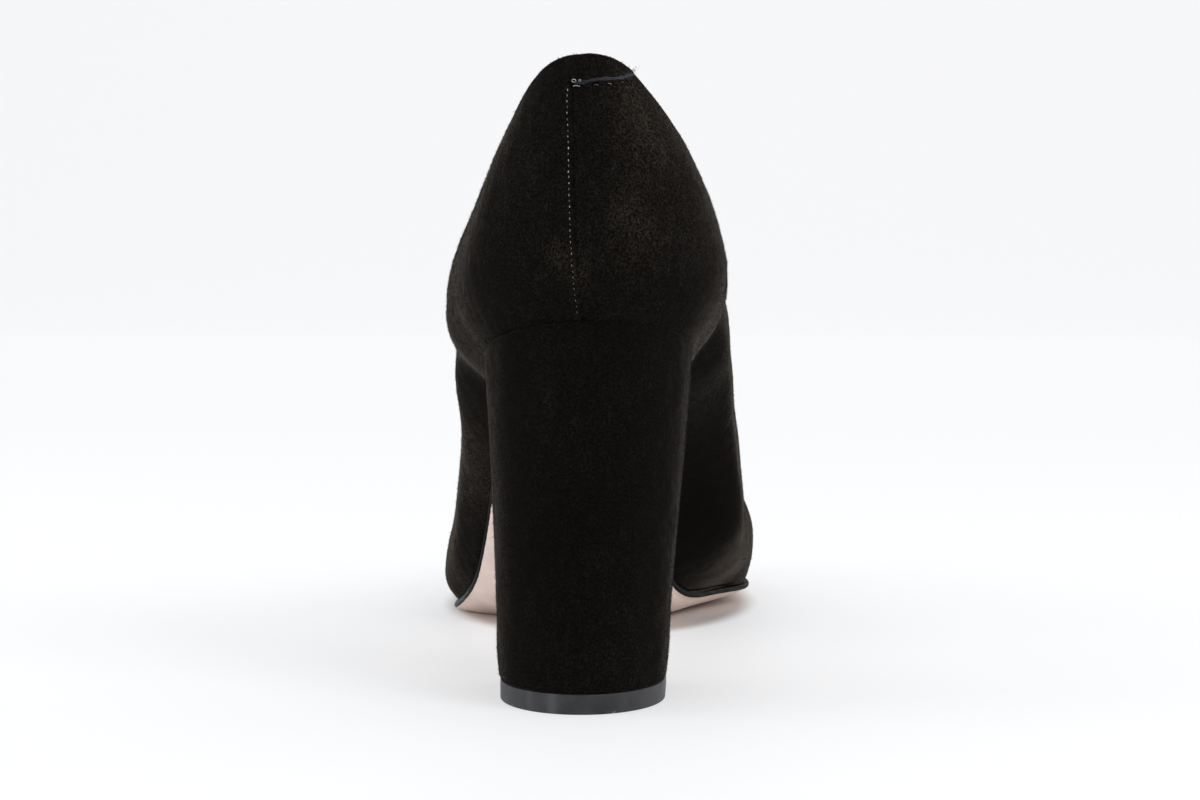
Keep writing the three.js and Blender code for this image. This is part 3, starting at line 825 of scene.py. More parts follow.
# Loose fibres, pale where they paint the sheen along edges that turn out of sight. A length or a tone is
# its least and what chance adds.
fuzz = {
    "seed": 61,
    "width": 0.045,
    "spread": 0.4,
    "pull": 0.5,                # how far each fibre strays from the common pull
    "cupCount": 5200,
    "cupFrom": 68.0,            # lowest height on the heel cup
    "cupBack": (4.8, 11.5),     # how far behind the hollow's middle they lie, outside and inside
    "cupBand": 1.8,
    "cupPull": (0, 0.5, -0.7),
    "cupLength": (0.25, 0.45),
    "cupTone": (0.08, 0.7),
    "edgeCount": 4800,
    "edgeGathered": 0.6,        # share that lies where the heel's side turns out of sight
    "edgePull": (0, 0, -0.7),
    "edgeLength": (0.18, 0.3),
    "outerLonger": 0.08,
    # Outer fibres are paler than inner ones: painted light from the outer side.
    "outerTone": (0.35, 0.55),
    "innerTone": (0.06, 0.3),
}


# Random values from the least upwards, most of them near it.
def nearLeast(random, least, more, count):
    return least + more * random.random(count) ** 2


# Loose pale fibres where the heel cup turns out of sight, their pale tone a painted sheen along that edge:
# a band at a set distance behind the middle of the hollow, on the relief of the suede.
def makeCupFuzzAndSheen(random, material):
    roots, outward = [], []
    for side, name, behind in zip((-1, 1), ("out", "in"), fuzz["cupBack"]):
        middle, _, top = hollow[name]
        z = random.uniform(fuzz["cupFrom"], top, fuzz["cupCount"])
        y = middle + hollow["slope"] * (z - hollow["fromZ"]) - behind
        y += fuzz["cupBand"] * random.normal(size=len(z))
        keep = z > edgeHeight(footX(y, side), y) + 0.6
        y, z = y[keep], z[keep]
        around = (lastX(y + 0.5, z, side) - lastX(y - 0.5, z, side)) * side
        up = (lastX(y, z + 0.5, side) - lastX(y, z - 0.5, side)) * side
        normal = unit(np.stack([np.full_like(y, side), -around, -up], axis=-1))
        place = np.stack([lastX(y, z, side), y, z], axis=-1)
        roots.append(place + normal * upperRelief(place[None])[0][:, None])
        outward.append(normal)
    roots, outward = np.concatenate(roots), np.concatenate(outward)
    pull = np.array(fuzz["cupPull"]) + fuzz["pull"] * random.normal(size=roots.shape)
    lengths = nearLeast(random, *fuzz["cupLength"], len(roots))
    tones = nearLeast(random, *fuzz["cupTone"], len(roots))
    shape = fuzz["width"], fuzz["spread"]
    return makeFibres("cup_fuzz_and_sheen", roots, outward, pull, lengths, *shape, material, tones, fuzz["seed"] + 1)


# Loose pale fibres down the heel block's sides, their pale tone a painted sheen, and paler outside as
# painted light from that side. Most gather where each side turns out of sight: close to the breast outside,
# and where the round of the seat starts inside.
def makeHeelFuzzAndSheen(random, material):
    down = 0.99 * random.random(2 * fuzz["edgeCount"])
    side = np.repeat([-1, 1], fuzz["edgeCount"])
    outer = side < 0
    count = len(side)
    half, back, breast, sideShift = blockAt(down)
    deep = last["seatRound"] * half / heel["topHalf"]
    straight = breast - heel["corner"] - back - deep
    turn = np.where(outer, straight - 3 * random.random(count), 4 * random.normal(size=count))
    turn = np.clip(turn, -6, straight)
    forward = np.where(random.random(count) < fuzz["edgeGathered"], turn, straight * random.random(count))
    roundness = np.minimum(forward, 0) / deep
    across = np.sqrt(1 - roundness**2)
    x = sideShift + side * half * across
    y = back + deep + forward
    roots = np.stack([x, y, blockHeight(x, y, down)], axis=-1)
    outward = unit(np.stack([side * across, roundness, 0 * y], axis=-1))
    pull = np.array(fuzz["edgePull"]) + fuzz["pull"] * random.normal(size=roots.shape)
    tones = nearLeast(random, *np.where(outer[:, None], fuzz["outerTone"], fuzz["innerTone"]).T, count)
    lengths = nearLeast(random, *fuzz["edgeLength"], count) + fuzz["outerLonger"] * outer
    shape = fuzz["width"], fuzz["spread"]
    return makeFibres("heel_fuzz_and_sheen", roots, outward, pull, lengths, *shape, material, tones, fuzz["seed"] + 2)


threadLook = {
    "seam": (tint(0.012, 0.012, 0.012), tint(0.52, 0.51, 0.50)),
    "pale": (tint(0.012, 0.012, 0.013), tint(0.46, 0.46, 0.48)),
    "rawEdge": (tint(0.010, 0.0105, 0.014), tint(0.070, 0.074, 0.092)),
}


# Threads: a fine twist between a dark and a light colour, times their tone.
def thread(name, dark, light):
    s = Shader(name)
    twist = s.noise(s.millimetres((1, 1, 2)), 0.2, 2)
    factor = s.maths("MULTIPLY", s.ramp(twist, 0.35, 0.65, 0.4), s.attribute("tone"))
    colour = s.mixColour(factor, dark, light)
    twisted = s.bump(twist, 0.00006, 0.6)
    return s.finish(Base_Color=colour, Roughness=0.6, Specular_IOR_Level=0.3, Normal=twisted)


# Beads: stretched balls with rings of points from pole to pole, their length along a direction.
def makeBeads(name, centres, directions, halfLength, halfWidth, material, tones):
    random = np.random.default_rng(5)
    along = unit(directions)
    aside = unit(np.cross(along, np.array([0.3, 1.0, 0.2])))
    latitude = np.linspace(0, math.pi, 7)[1:-1]
    turn = np.linspace(0, 2 * math.pi, 9)[:-1]
    size = (0.85 + 0.3 * random.random(len(centres)))[:, None, None, None]
    ring = roundSection(aside, np.cross(along, aside), turn)[:, None]
    place = along[:, None, None] * (-np.cos(latitude) * halfLength)[None, :, None, None]
    grid = place + ring * (np.sin(latitude) * halfWidth)[None, :, None, None]
    grid = centres[:, None, None] + size * grid
    poles = np.stack([-along * halfLength, along * halfLength], axis=1) * size[:, 0] + centres[:, None]
    count, rings, turns = grid.shape[:3]
    points = np.concatenate([grid.reshape(count, -1, 3), poles], axis=1)
    first = points.shape[1] * np.arange(count)[:, None, None]
    faces = [(first + part[:, ::-1]).reshape(-1, part.shape[1]) for part in closedFaces(rings, turns)]
    return makePiece(name, points, faces, material, {"tone": np.repeat(tones, points.shape[1])})


# Threads: a round section carried along each path, closed by a point at both ends.
def makeThreads(name, paths, radius, material, pathTones, turns=7):
    points, faces, tones = [], [], []
    start = 0
    turn = np.linspace(0, 2 * math.pi, turns + 1)[:-1]
    for path, tone in zip(paths, pathTones):
        tone = np.broadcast_to(tone, len(path))
        tones += [np.repeat(tone, turns), tone[:1], tone[-1:]]
        forward = unit(np.gradient(path, axis=0))
        aside = unit(np.cross(forward, np.array([0.25, 0.9, 0.35])))
        ring = roundSection(aside, np.cross(forward, aside), turn)
        fromEnd = np.minimum(np.arange(len(path)), np.arange(len(path))[::-1])
        taper = radius * closing(fromEnd / 2 + 0.2, 2)
        tip = 0.3 * radius * forward
        grid = path[:, None] + ring * taper[:, None, None]
        points += [grid.reshape(-1, 3), path[:1] - tip[:1], path[-1:] + tip[-1:]]
        faces += [part[:, ::-1] for part in closedFaces(len(path), turns, start)]
        start += len(path) * turns + 2
    return makePiece(name, np.concatenate(points), faces, material, {"tone": np.concatenate(tones)})


stitches = {
    "from": 137.4,
    "to": 88.6,
    "pitch": 1.27,
    "halfLength": 0.27,
    "halfWidth": 0.12,
    "proud": 0.03,
    "strayUp": 0.06,
    "strayAside": 0.05,
    "tones": (0.9, 0.35),       # one stitch, and the next one, which is sunk and dimmer
    "lowTone": 0.25,            # how much of its tone is left at the heel
}


# Stitches of the back seam, each one a short thread that dips into the suede at both ends. They fade
# towards the heel.
def makeStitches(material):
    z = np.arange(stitches["from"], stitches["to"], -stitches["pitch"])
    random = np.random.default_rng(12)
    z = z + random.normal(size=len(z)) * stitches["strayUp"]
    x = stitchAt(z) + random.normal(size=len(z)) * stitches["strayAside"]
    place = np.stack([x, backSurfaceY(x, z), z], axis=-1)
    lift = upperRelief(place[None])[0] + stitches["proud"] * random.uniform(-1, 1.6, len(z))
    centres = place - np.array([0, 1.0, 0]) * lift[:, None]
    along = np.stack([stitchAt(z + 1) - stitchAt(z - 1), backAt(z + 1) - backAt(z - 1), 2 + 0 * z], axis=-1)
    every = np.where(np.arange(len(z)) % 2, stitches["tones"][1], stitches["tones"][0])
    tones = every * random.uniform(0.6, 1.1, len(z))
    tones *= stitches["lowTone"] + (1 - stitches["lowTone"]) * grow(z, 90, 128)
    size = stitches["halfLength"], stitches["halfWidth"]
    return makeBeads("seam_stitches", centres, along, *size, material, tones)


# A point just outside the tab or the counter, at an x and a height.
def onBack(x, z, off):
    x, z = np.broadcast_arrays(np.asarray(x, float), np.asarray(z, float))
    return np.stack([x, backSurfaceY(x, z) - off, z], axis=-1)


# The tab's raw edge, from its first to its last x. Each drawn thread has a height and a phase.
fray = {
    "from": -2.2,
    "to": 10.4,
    "fibres": 1500,
    "endFibres": 500,
    "endX": 9.4,
    "fibreWidth": 0.035,
    "length": (0.25, 0.55),
    "threads": [(-0.28, 0.0), (-0.05, 1.7), (0.12, 3.1)],
    "threadRadius": 0.11,
}
# Loose threads on the tab: x, height and length of the short ones under its edge, and all threads' tones.
loose = {
    "radius": 0.085,
    "short": [(2.0, 138.5, 1.0), (5.0, 138.85, 0.7), (7.9, 139.3, 0.4)],
    "tones": [1.0, 0.6, 0.9, 0.2, 0.5, 0.15],
}


# Loose fibres along the tab's raw edge and at its end, brighter towards the end.
def makeFray(material):
    random = np.random.default_rng(31)
    x = random.uniform(fray["from"], fray["to"], fray["fibres"])
    x = np.append(x, random.normal(fray["endX"], 0.7, fray["endFibres"]))
    z = tabEdgeAt(x) + random.normal(size=len(x)) * 0.22
    z[fray["fibres"]:] += random.uniform(-0.3, 0.8, fray["endFibres"])
    roots = onBack(x, z, 0.25 + 0.55 * random.random(len(x)) * tabRiseAt(x))
    outward = np.broadcast_to(np.array([0.15, -1.0, -0.1]), roots.shape)
    lean = random.normal(size=(len(x), 1)) * np.array([1.0, 0, 0.1]) + np.array([0.2, 0, -0.25])
    lengths = nearLeast(random, *fray["length"], len(x))
    tones = random.random(len(x)) * (0.3 + 0.7 * grow(x, fray["from"], fray["to"]))
    return makeFibres("tab_fray", roots, outward, lean, lengths, fray["fibreWidth"], 0.5, material, tones, 32)


# Threads at the tab: two loops over the stitches, a loose end, and short ends under the raw edge. A loop
# is a circle in x and height, stretched, and its off distance lifts it from the suede.
def makeTabThreads(material):
    way = np.linspace(0, 1, 26)
    turn = 2 * math.pi * way
    bigX = -2.35 + 0.44 * np.cos(1.1 * turn)
    bigZ = 139.35 + 0.3 * np.sin(1.1 * turn)
    paths = [
        onBack(bigX, bigZ, 0.95 + 0.25 * np.sin(turn)),
        onBack(-1.05 + 0.22 * np.cos(turn), 139.4 + 0.2 * np.sin(turn), 0.95),
        onBack(-2.5 + 1.5 * way, 138.2 + 0.1 * np.sin(4 * way), 0.62),
    ]
    for x, z, length in loose["short"]:
        paths.append(onBack(x + length * way, z + 0.06 * np.sin(5 * way), 0.05))
    return makeThreads("tab_threads", paths, loose["radius"], material, loose["tones"])


# Threads drawn from the raw edge: each one follows the tab's edge with small waves in height and depth,
# and brightens towards the end.
def makeEdgeThreads(material):
    way = np.linspace(0, 1, 90)
    paths, tones = [], []
    for k, (low, phase) in enumerate(fray["threads"]):
        x = fray["from"] + (fray["to"] - fray["from"] - 0.3 * k) * way
        wave = 0.12 * np.sin(31 * way + phase) + 0.07 * np.sin(77 * way + 2 * phase)
        depth = 0.28 + tabRiseAt(x) * (0.45 + 0.2 * np.sin(19 * way + phase))
        paths.append(onBack(x, tabEdgeAt(x) + low + wave, depth))
        tones.append((0.15 + 0.85 * way**1.5) * (0.65 + 0.35 * np.sin(43 * way + 2 * k)))
    return makeThreads("tab_raw_edge", paths, fray["threadRadius"], material, tones, turns=6)


liningLook = {
    "light": tint(0.72, 0.585, 0.52),
    "dark": tint(0.62, 0.48, 0.41),
    "roughness": (0.44, 0.58),
}


# Smooth leather: faint cloudy colour, fine pores and shallow scuffs.
def smoothLeather(name, look):
    s = Shader(name)
    mm = s.millimetres()
    cloud = s.noise(mm, 9.0, 3)
    pores = s.noise(mm, 0.5, 2)
    colour = s.mixColour(s.ramp(cloud, 0.3, 0.7), look["light"], look["dark"])
    colour = s.mixColour(s.ramp(pores, 0.35, 0.5, 0.10, 0.0), colour, look["dark"])
    return s.finish(
        Base_Color=colour,
        Roughness=s.ramp(cloud, 0.3, 0.7, *look["roughness"]),
        Specular_IOR_Level=0.4,
        Normal=s.bump(pores, 0.00008, 0.5),
    )


sole = {
    "rear": 50.3,
    "gap": 0.45,
    "edgeThickness": 1.15,
    "middleThickness": 3.8,
    "reveal": {"waist": 0.3, "ball": 1.1, "from": 105.0, "over": 35.0},
    "toeShare": 0.7,            # share of the way at which the round of the toe starts
    "steps": 200,
    "across": 60,
    "edgeSteps": 8,
    "edgeRound": 0.25,
    "polishedFrom": 126,
    "innerPolish": 0.35,
}
soleLook = {
    "paint": tint(0.003, 0.003, 0.0035),
    "paintedGlint": tint(0.085, 0.088, 0.098),
    "light": tint(0.80, 0.665, 0.605),
    "dark": tint(0.71, 0.575, 0.51),
    "scuff": tint(0.42, 0.36, 0.33),
    "paintTo": (0.40, 0.48),            # where the paint ends, in from the rim
    "paintRoughness": (0.60, 0.42),     # plain and polished
    "roughness": 0.40,
}


# Waxed leather with a painted edge. The inward attribute is the distance in from the sole's rim, and the
# polish attribute is 1 where the edge is burnished, round the forefoot: it sets the paint's roughness, and
# there pale streaks in the paint's colour are painted reflections.
def soleLeather(name):
    s = Shader(name)
    mm = s.millimetres()
    polish = s.attribute("polish")
    ragged = s.maths("ADD", s.attribute("inward"), s.maths("MULTIPLY", s.noise(mm, 1.2, 3), 0.35))
    bare = s.ramp(ragged, *soleLook["paintTo"])
    cloud = s.ramp(s.noise(mm, 12.0, 4), 0.3, 0.7)
    scuffs = s.ramp(s.noise(s.millimetres((3, 1, 1)), 1.6, 4, 0.7), 0.66, 0.78, 0.0, 0.5)
    leather = s.mixColour(cloud, soleLook["light"], soleLook["dark"])
    leather = s.mixColour(scuffs, leather, soleLook["scuff"])
    # Painted reflections: pale streaks in the edge's colour where it is polished.
    paintedGlints = s.maths("MULTIPLY", polish, s.ramp(s.noise(s.millimetres((1, 0.3, 3)), 1.5, 3), 0.45, 0.75))
    paint = s.mixColour(paintedGlints, soleLook["paint"], soleLook["paintedGlint"])
    painted = s.ramp(polish, 0, 1, *soleLook["paintRoughness"])
    return s.finish(
        Base_Color=s.mixColour(bare, paint, leather),
        Roughness=s.node("Mix", i0=bare, i2=painted, i3=soleLook["roughness"]).outputs[0],
        Specular_IOR_Level=0.08,
        Normal=s.bump(s.noise(mm, 0.45, 2), 0.00005, 0.4),
    )


# A plate under the last: rows along the shoe, each one a closed section that goes across the top from the
# outer to the inner side, round the edge and back below. Place goes from -1 to 1 across.
def makePlate(plate, y, insetAt, topside, underside):
    place = -np.cos(np.linspace(0, np.pi, plate["across"] + 1))[None, :]
    outX = footX(y, -1, insetAt)[:, None]
    inX = footX(y, 1, insetAt)[:, None]
    x = outX + (inX - outX) * (place + 1) / 2
    rowY = np.repeat(y[:, None], plate["across"] + 1, axis=1)
    top = np.stack([x, rowY, topside(x, rowY)], axis=-1)
    under = np.stack([x, rowY, underside(x, rowY, place)], axis=-1)
    phi = np.linspace(-math.pi / 2, math.pi / 2, plate["edgeSteps"] + 2)[1:-1][None, :, None]

    def edge(side, upperPoint, lowerPoint):
        middle = (upperPoint + lowerPoint)[:, None, :] / 2
        half = (upperPoint - lowerPoint)[:, None, :] / 2
        out = np.array([side * plate["edgeRound"], 0.0, 0.0])
        return middle + half * np.abs(np.sin(phi)) ** 0.7 * np.sign(np.sin(phi)) + out * np.cos(phi) ** 0.6

    inner = edge(1, top[:, -1], under[:, -1])[:, ::-1]
    outer = edge(-1, top[:, 0], under[:, 0])
    loop = np.concatenate([top, inner, under[:, ::-1], outer], axis=1)
    inward = np.zeros(loop.shape[:2])
    fromUnder = top.shape[1] + inner.shape[1]
    inward[:, fromUnder:fromUnder + under.shape[1]] = np.minimum(x - outX, inX - x)[:, ::-1]
    return loop, inward


# Faces of a plate: bands between its rows, and at both ends strips from the top to the underside with a
# fan in each rounded edge.
def plateFaces(plate, loop):
    rows, around = loop.shape[:2]
    across, edgeSteps = plate["across"], plate["edgeSteps"]
    faces = [gridFaces(rows, around, closeColumns=True)]
    for start, turn in ((0, 1), ((rows - 1) * around, -1)):
        top = start + np.arange(across + 1)
        under = start + across + 1 + edgeSteps + np.arange(across + 1)[::-1]
        innerEdge = start + np.arange(across, across + edgeSteps + 2)
        outerEdge = start + np.append(np.arange(2 * across + 1 + edgeSteps + 1, around), 0)
        faces.append(np.stack([top[:-1], top[1:], under[1:], under[:-1]], axis=-1)[:, ::turn])
        for ring in (innerEdge, outerEdge):
            hub = np.full(len(ring) - 2, ring[0])
            faces.append(np.stack([hub, ring[1:-1], ring[2:]], axis=-1)[:, ::turn])
    return faces


# The sole: its top follows the last at a gap, and its thickness grows from the edge to the middle as half
# a circle does, but never below the floor. It shows more beyond the upper from the waist to the ball.
def makeOutsole(material):
    reveal = sole["reveal"]
    front = last["length"] + reveal["ball"]
    share = np.linspace(0, 1, sole["steps"])
    y = lengthAt(share, sole["rear"], 0.0, front, last["toeRound"], 1e-9, sole["toeShare"])
    y = np.minimum(y, front - 0.004)
    widening = np.clip((y - reveal["from"]) / reveal["over"], 0, 1)
    inset = -(reveal["waist"] + (reveal["ball"] - reveal["waist"]) * widening)

    def topside(x, rowY):
        return underLast(x, rowY) - sole["gap"]

    def underside(x, rowY, place):
        fullness = np.sqrt(1 - place**2)
        thick = sole["edgeThickness"] + (sole["middleThickness"] - sole["edgeThickness"]) * fullness
        return np.maximum(underLast(x, rowY) - sole["gap"] - thick, 0)

    loop, inward = makePlate(sole, y, inset, topside, underside)
    # Burnished round the forefoot and less on the inner side; this also places the painted reflections.
    polish = grow(loop[..., 1], sole["polishedFrom"], sole["polishedFrom"] + 20)
    polish *= np.where(loop[..., 0] < 5, 1, sole["innerPolish"])
    looks = {"inward": inward, "polish": polish}
    return makePiece("leather_sole", loop, plateFaces(sole, loop), material, looks)


sock = {
    "thickness": 2.4,
    "inset": 2.35,
    "lift": 0.05,
    "uneven": [(0.05, 20, 11)],
    "roundShares": (0.16, 0.78),    # shares of the way at which the round ends stop
    "steps": 160,
    "across": 40,
    "edgeSteps": 6,
    "edgeRound": 0.15,
}


# The sock on its insole: an even plate that lies on the last's underside, drawn in from its edge.
def makeSock(material):
    share = np.linspace(0, 1, sock["steps"])
    inset = sock["inset"]
    front = last["length"] - inset
    rounds = last["seatRound"] - inset, last["toeRound"] - inset
    y = lengthAt(share, inset, rounds[0], front, rounds[1], *sock["roundShares"])
    y = np.clip(y, inset + 0.004, front - 0.004)

    def topside(x, rowY):
        waves = unevenness(np.stack([x, rowY, 0 * x], -1), sock["uneven"])
        return underLast(x, rowY) + sock["thickness"] + waves

    def underside(x, rowY, place):
        return underLast(x, rowY) + sock["lift"]

    loop, _ = makePlate(sock, y, inset, topside, underside)
    return makePiece("sock_insole", loop, plateFaces(sock, loop), material)


# Heel block from the seat down to the lift: share of the way down, half width, back, breast and how far
# the section lies to the inner side.
blockRows = np.array([
    [0.00, 23.8, -0.4, 50.0, -0.8], [0.25, 22.6, -0.3, 48.4, -0.9], [0.45, 21.5, -0.2, 47.0, -1.05],
    [0.65, 20.6, -0.1, 45.6, -1.4], [0.80, 19.9, 0.0, 44.6, -1.6], [0.96, 19.4, 0.1, 43.5, -1.75],
    [0.99, 19.1, 0.4, 43.2, -1.75], [1.00, 18.7, 0.8, 42.8, -1.7],
])
heel = {
    "gap": 0.15,
    "footZ": 4.62,
    "height": 80.0,
    "corner": 2.5,
    "edge": 0.4,
    "edgeSteps": 7,
    "capInsets": (20.0, 17, 14, 11, 8, 5.5, 3.5, 2, 1.2),   # rings on the flat ends
    "levels": 110,
    "topHalf": 23.8,
    "middle": (-1.0, 24.0),
    "uneven": [(0.08, 11, 21), (0.04, 4, 22)],
}
# How much lighter the heel's nap is made in each place: brushed nap, and a painted sheen down the outer
# side. The smear has its middle and its reach too.
heelBrushingAndLight = {"plain": 0.2, "outer": 0.7, "smear": (0.35, (-9, 72), (2.5, 9)), "foot": 0.12, "hidden": 0.1}
lift = {
    "thickness": 4.5,
    "inset": -0.3,
    "edge": 0.25,
    "edgeSteps": 6,
    "capInsets": (16.0, 13, 10, 7, 4.5, 2.5, 1.2),
    "sideSteps": 8,
}
liftLook = {
    "dark": tint(0.015, 0.0152, 0.017),
    "light": tint(0.030, 0.0305, 0.034),
    "band": tint(0.052, 0.053, 0.058),
    "chip": tint(0.22, 0.22, 0.215),
}


# D-shaped outline, seen from above against the clock: half an ellipse round the back, straight sides and a
# flat breast with small round corners. Inset draws all of it in.
def blockOutline(half, back, breast, sideShift, inset):
    half, back, breast = half - inset, back + inset, breast - inset
    deep = last["seatRound"] * (half + inset) / heel["topHalf"] - inset
    radius = np.maximum(heel["corner"] - inset, 0.4)
    angle = np.linspace(0, np.pi, 121)
    side = np.linspace(0, 1, 16)[1:-1]
    corner = np.linspace(0, np.pi / 2, 9)
    flat = np.linspace(0, 1, 30)[1:-1]
    columns = [np.asarray(v, float)[..., None] for v in (half, back, breast, sideShift, deep, radius)]
    half, back, breast, sideShift, deep, radius = columns
    seatY = back + deep
    cornerY = breast - radius
    xs = [-half * np.cos(angle)]
    ys = [seatY - deep * np.sin(angle)]
    xs += [half + 0 * side, half - radius + radius * np.cos(corner), (half - radius) * (1 - 2 * flat)]
    ys += [seatY + (cornerY - seatY) * side, cornerY + radius * np.sin(corner), breast + 0 * flat]
    xs += [-half + radius - radius * np.sin(corner), -half + 0 * side]
    ys += [cornerY + radius * np.cos(corner), cornerY + (seatY - cornerY) * side]
    x = np.concatenate([np.broadcast_to(v, half.shape[:-1] + v.shape[-1:]) for v in xs], axis=-1)
    y = np.concatenate([np.broadcast_to(v, half.shape[:-1] + v.shape[-1:]) for v in ys], axis=-1)
    return x + sideShift, y


# Half width, back, breast and side shift of the block at a share of the way down.
def blockAt(down):
    return [smoothTable(blockRows[:, 0], blockRows[:, i], down) for i in range(1, 5)]


# Height on the heel block at a share of the way down, from the last's underside to the block's foot.
def blockHeight(x, y, down):
    return (underLast(x, y) - heel["gap"]) * (1 - down) + heel["footZ"] * down


# End of a block: rings on its flat face and round its edge, as insets and drops.
def roundEnd(block):
    phi = np.linspace(0, np.pi / 2, block["edgeSteps"])
    flat = np.zeros(len(block["capInsets"]))
    insets = np.concatenate([block["capInsets"], block["edge"] * (1 - np.sin(phi))])
    return insets, np.concatenate([flat, block["edge"] * (1 - np.cos(phi))])


# The heel's brushed and lit places: a painted sheen band down its outer edge, a faint smear and a paler foot.
def heelBrushedAndLit(points):
    x, y, z = points[..., 0], points[..., 1], points[..., 2]
    amount, *place = heelBrushingAndLight["smear"]
    smear = amount * spot(x, z, *place) * grow(y, 12, 6)
    # Painted sheen: a lighter band down the outer side, where it turns out of sight.
    outer = heelBrushingAndLight["outer"] * grow(x, -15, -20) * grow(y, 6, 14)
    foot = heelBrushingAndLight["foot"] * grow(z, 34, 10)
    return np.clip(heelBrushingAndLight["plain"] + 0.05 * softNoise(points, 30, 23) + outer + smear + foot, 0, 1)


# The heel's cover: outlines from the seat down to the foot, closed by flat ends with a round edge, with
# gentle unevenness that fades out on the ends.
def makeHeelCover(material):
    endInset, endDrop = roundEnd(heel)
    endDrop = endDrop / heel["height"]
    edge = heel["edge"] / heel["height"]
    down = np.linspace(edge, 1 - edge, heel["levels"])
    insets = np.concatenate([endInset, np.zeros(len(down)), endInset[::-1] * 0.9])
    downs = np.concatenate([endDrop, down, 1 - endDrop[::-1]])
    x, y = blockOutline(*blockAt(downs), insets)
    rings = np.stack([x, y, blockHeight(x, y, downs[:, None])], axis=-1)
    centre = rings.copy()
    centre[..., :2] = heel["middle"]
    onSide = 1 - np.clip(insets / 2, 0, 1)[:, None]
    relief = unevenness(rings, heel["uneven"]) * onSide
    rings = rings + unit(rings - centre) * relief[..., None]
    brushedAndLit = np.append(heelBrushedAndLit(rings).ravel(), [heelBrushingAndLight["hidden"]] * 2)
    caps = len(heel["capInsets"])
    shown = rings[caps:-caps][::-1].transpose(1, 0, 2)
    return ringBody("heel_cover", rings, material, {"brushedAndLit": brushedAndLit}), shown


# Satin rubber with faint moulding marks, soft upright bands of painted reflection and pale chips along its
# lower edge.
def liftRubber(name):
    s = Shader(name)
    mm = s.millimetres()
    cloud = s.noise(mm, 5.0, 3)
    worn = s.maths("MULTIPLY", s.attribute("low"), s.ramp(s.noise(mm, 0.8, 3), 0.64, 0.74, 0.0, 0.7))
    colour = s.mixColour(s.ramp(cloud, 0.3, 0.7), liftLook["dark"], liftLook["light"])
    colour = s.mixColour(s.attribute("band"), colour, liftLook["band"])
    colour = s.mixColour(worn, colour, liftLook["chip"])
    return s.finish(
        Base_Color=colour,
        Roughness=s.ramp(cloud, 0.3, 0.7, 0.45, 0.6),
        Specular_IOR_Level=0.3,
        Normal=s.bump(s.noise(mm, 0.6, 2), 0.00006, 0.5),
    )


# The lift: the block's lowest outline carried straight down, closed by flat ends with a round edge. Its
# low attribute marks where it chips, and its band attribute the upright bands of painted reflection.
def makeTopLift(material):
    thickness = lift["thickness"]
    endInset, endDrop = roundEnd(lift)
    sides = np.linspace(lift["edge"], thickness - lift["edge"], lift["sideSteps"] + 2)[1:-1]
    insets = lift["inset"] + np.concatenate([endInset, np.zeros(len(sides)), endInset[::-1]])
    drops = np.concatenate([endDrop, sides, thickness - endDrop[::-1]])
    foot = [np.full(len(insets), value) for value in blockRows[-1, 1:]]
    x, y = blockOutline(*foot, insets)
    rings = np.stack([x, y, np.broadcast_to(thickness - drops[:, None], x.shape)], axis=-1)
    z = rings[..., 2]
    low = grow(z, 0.9, 0.4) + 0.6 * grow(x, -16, -18)
    # Painted reflections: upright light bands across the lift's back face.
    band = 0.5 * bell(x + 12.7, 0.8) + bell(x + 7.5, 1.2) + 0.3 * grow(x, 4, 18)
    looks = {"low": np.append(low.ravel(), [0, 0]), "band": np.append(band.ravel(), [0, 0])}
    return ringBody("rubber_lift", rings, material, looks)


# The camera stands where the photograph's did, at its height, tilt and lens, and turns to frame the shoe.
camera = {
    "behind": 520.0,
    "height": 101.8,
    "focalPixels": 2385.0,
    "widthPixels": 1200.0,
    "toeOut": 2.0,
    "tilt": 3.5,
    "heelPixel": 400.0,
    "centrePixel": 600.0,
    "shoePixel": 415.0,
    "sensor": 36.0,
}


def makeCamera():
    toeOut = math.radians(camera["toeOut"])
    forward = np.array([math.sin(toeOut), math.cos(toeOut), 0.0])
    right = np.array([math.cos(toeOut), -math.sin(toeOut), 0.0])
    aside = (camera["heelPixel"] - camera["centrePixel"]) / camera["focalPixels"] * camera["behind"]
    place = -forward * camera["behind"] - right * aside + np.array([0, 0, camera["height"]])
    turn = math.atan((camera["shoePixel"] - camera["centrePixel"]) / camera["focalPixels"])
    aim = forward * math.cos(turn) + right * math.sin(turn)
    tilt = math.radians(camera["tilt"])
    aim = aim * math.cos(tilt) + np.array([0, 0, -math.sin(tilt)])
    data = bpy.data.cameras.new("camera")
    data.sensor_width = camera["sensor"]
    data.lens = camera["focalPixels"] / camera["widthPixels"] * camera["sensor"]
    data.clip_start = 0.01
    data.clip_end = 50
    item = bpy.data.objects.new("camera", data)
    item.location = Vector((place + shift) / 1000)
    item.rotation_mode = "QUATERNION"
    item.rotation_quaternion = Vector(aim).to_track_quat("-Z", "Y")
    bpy.context.scene.collection.objects.link(item)
    bpy.context.scene.camera = item


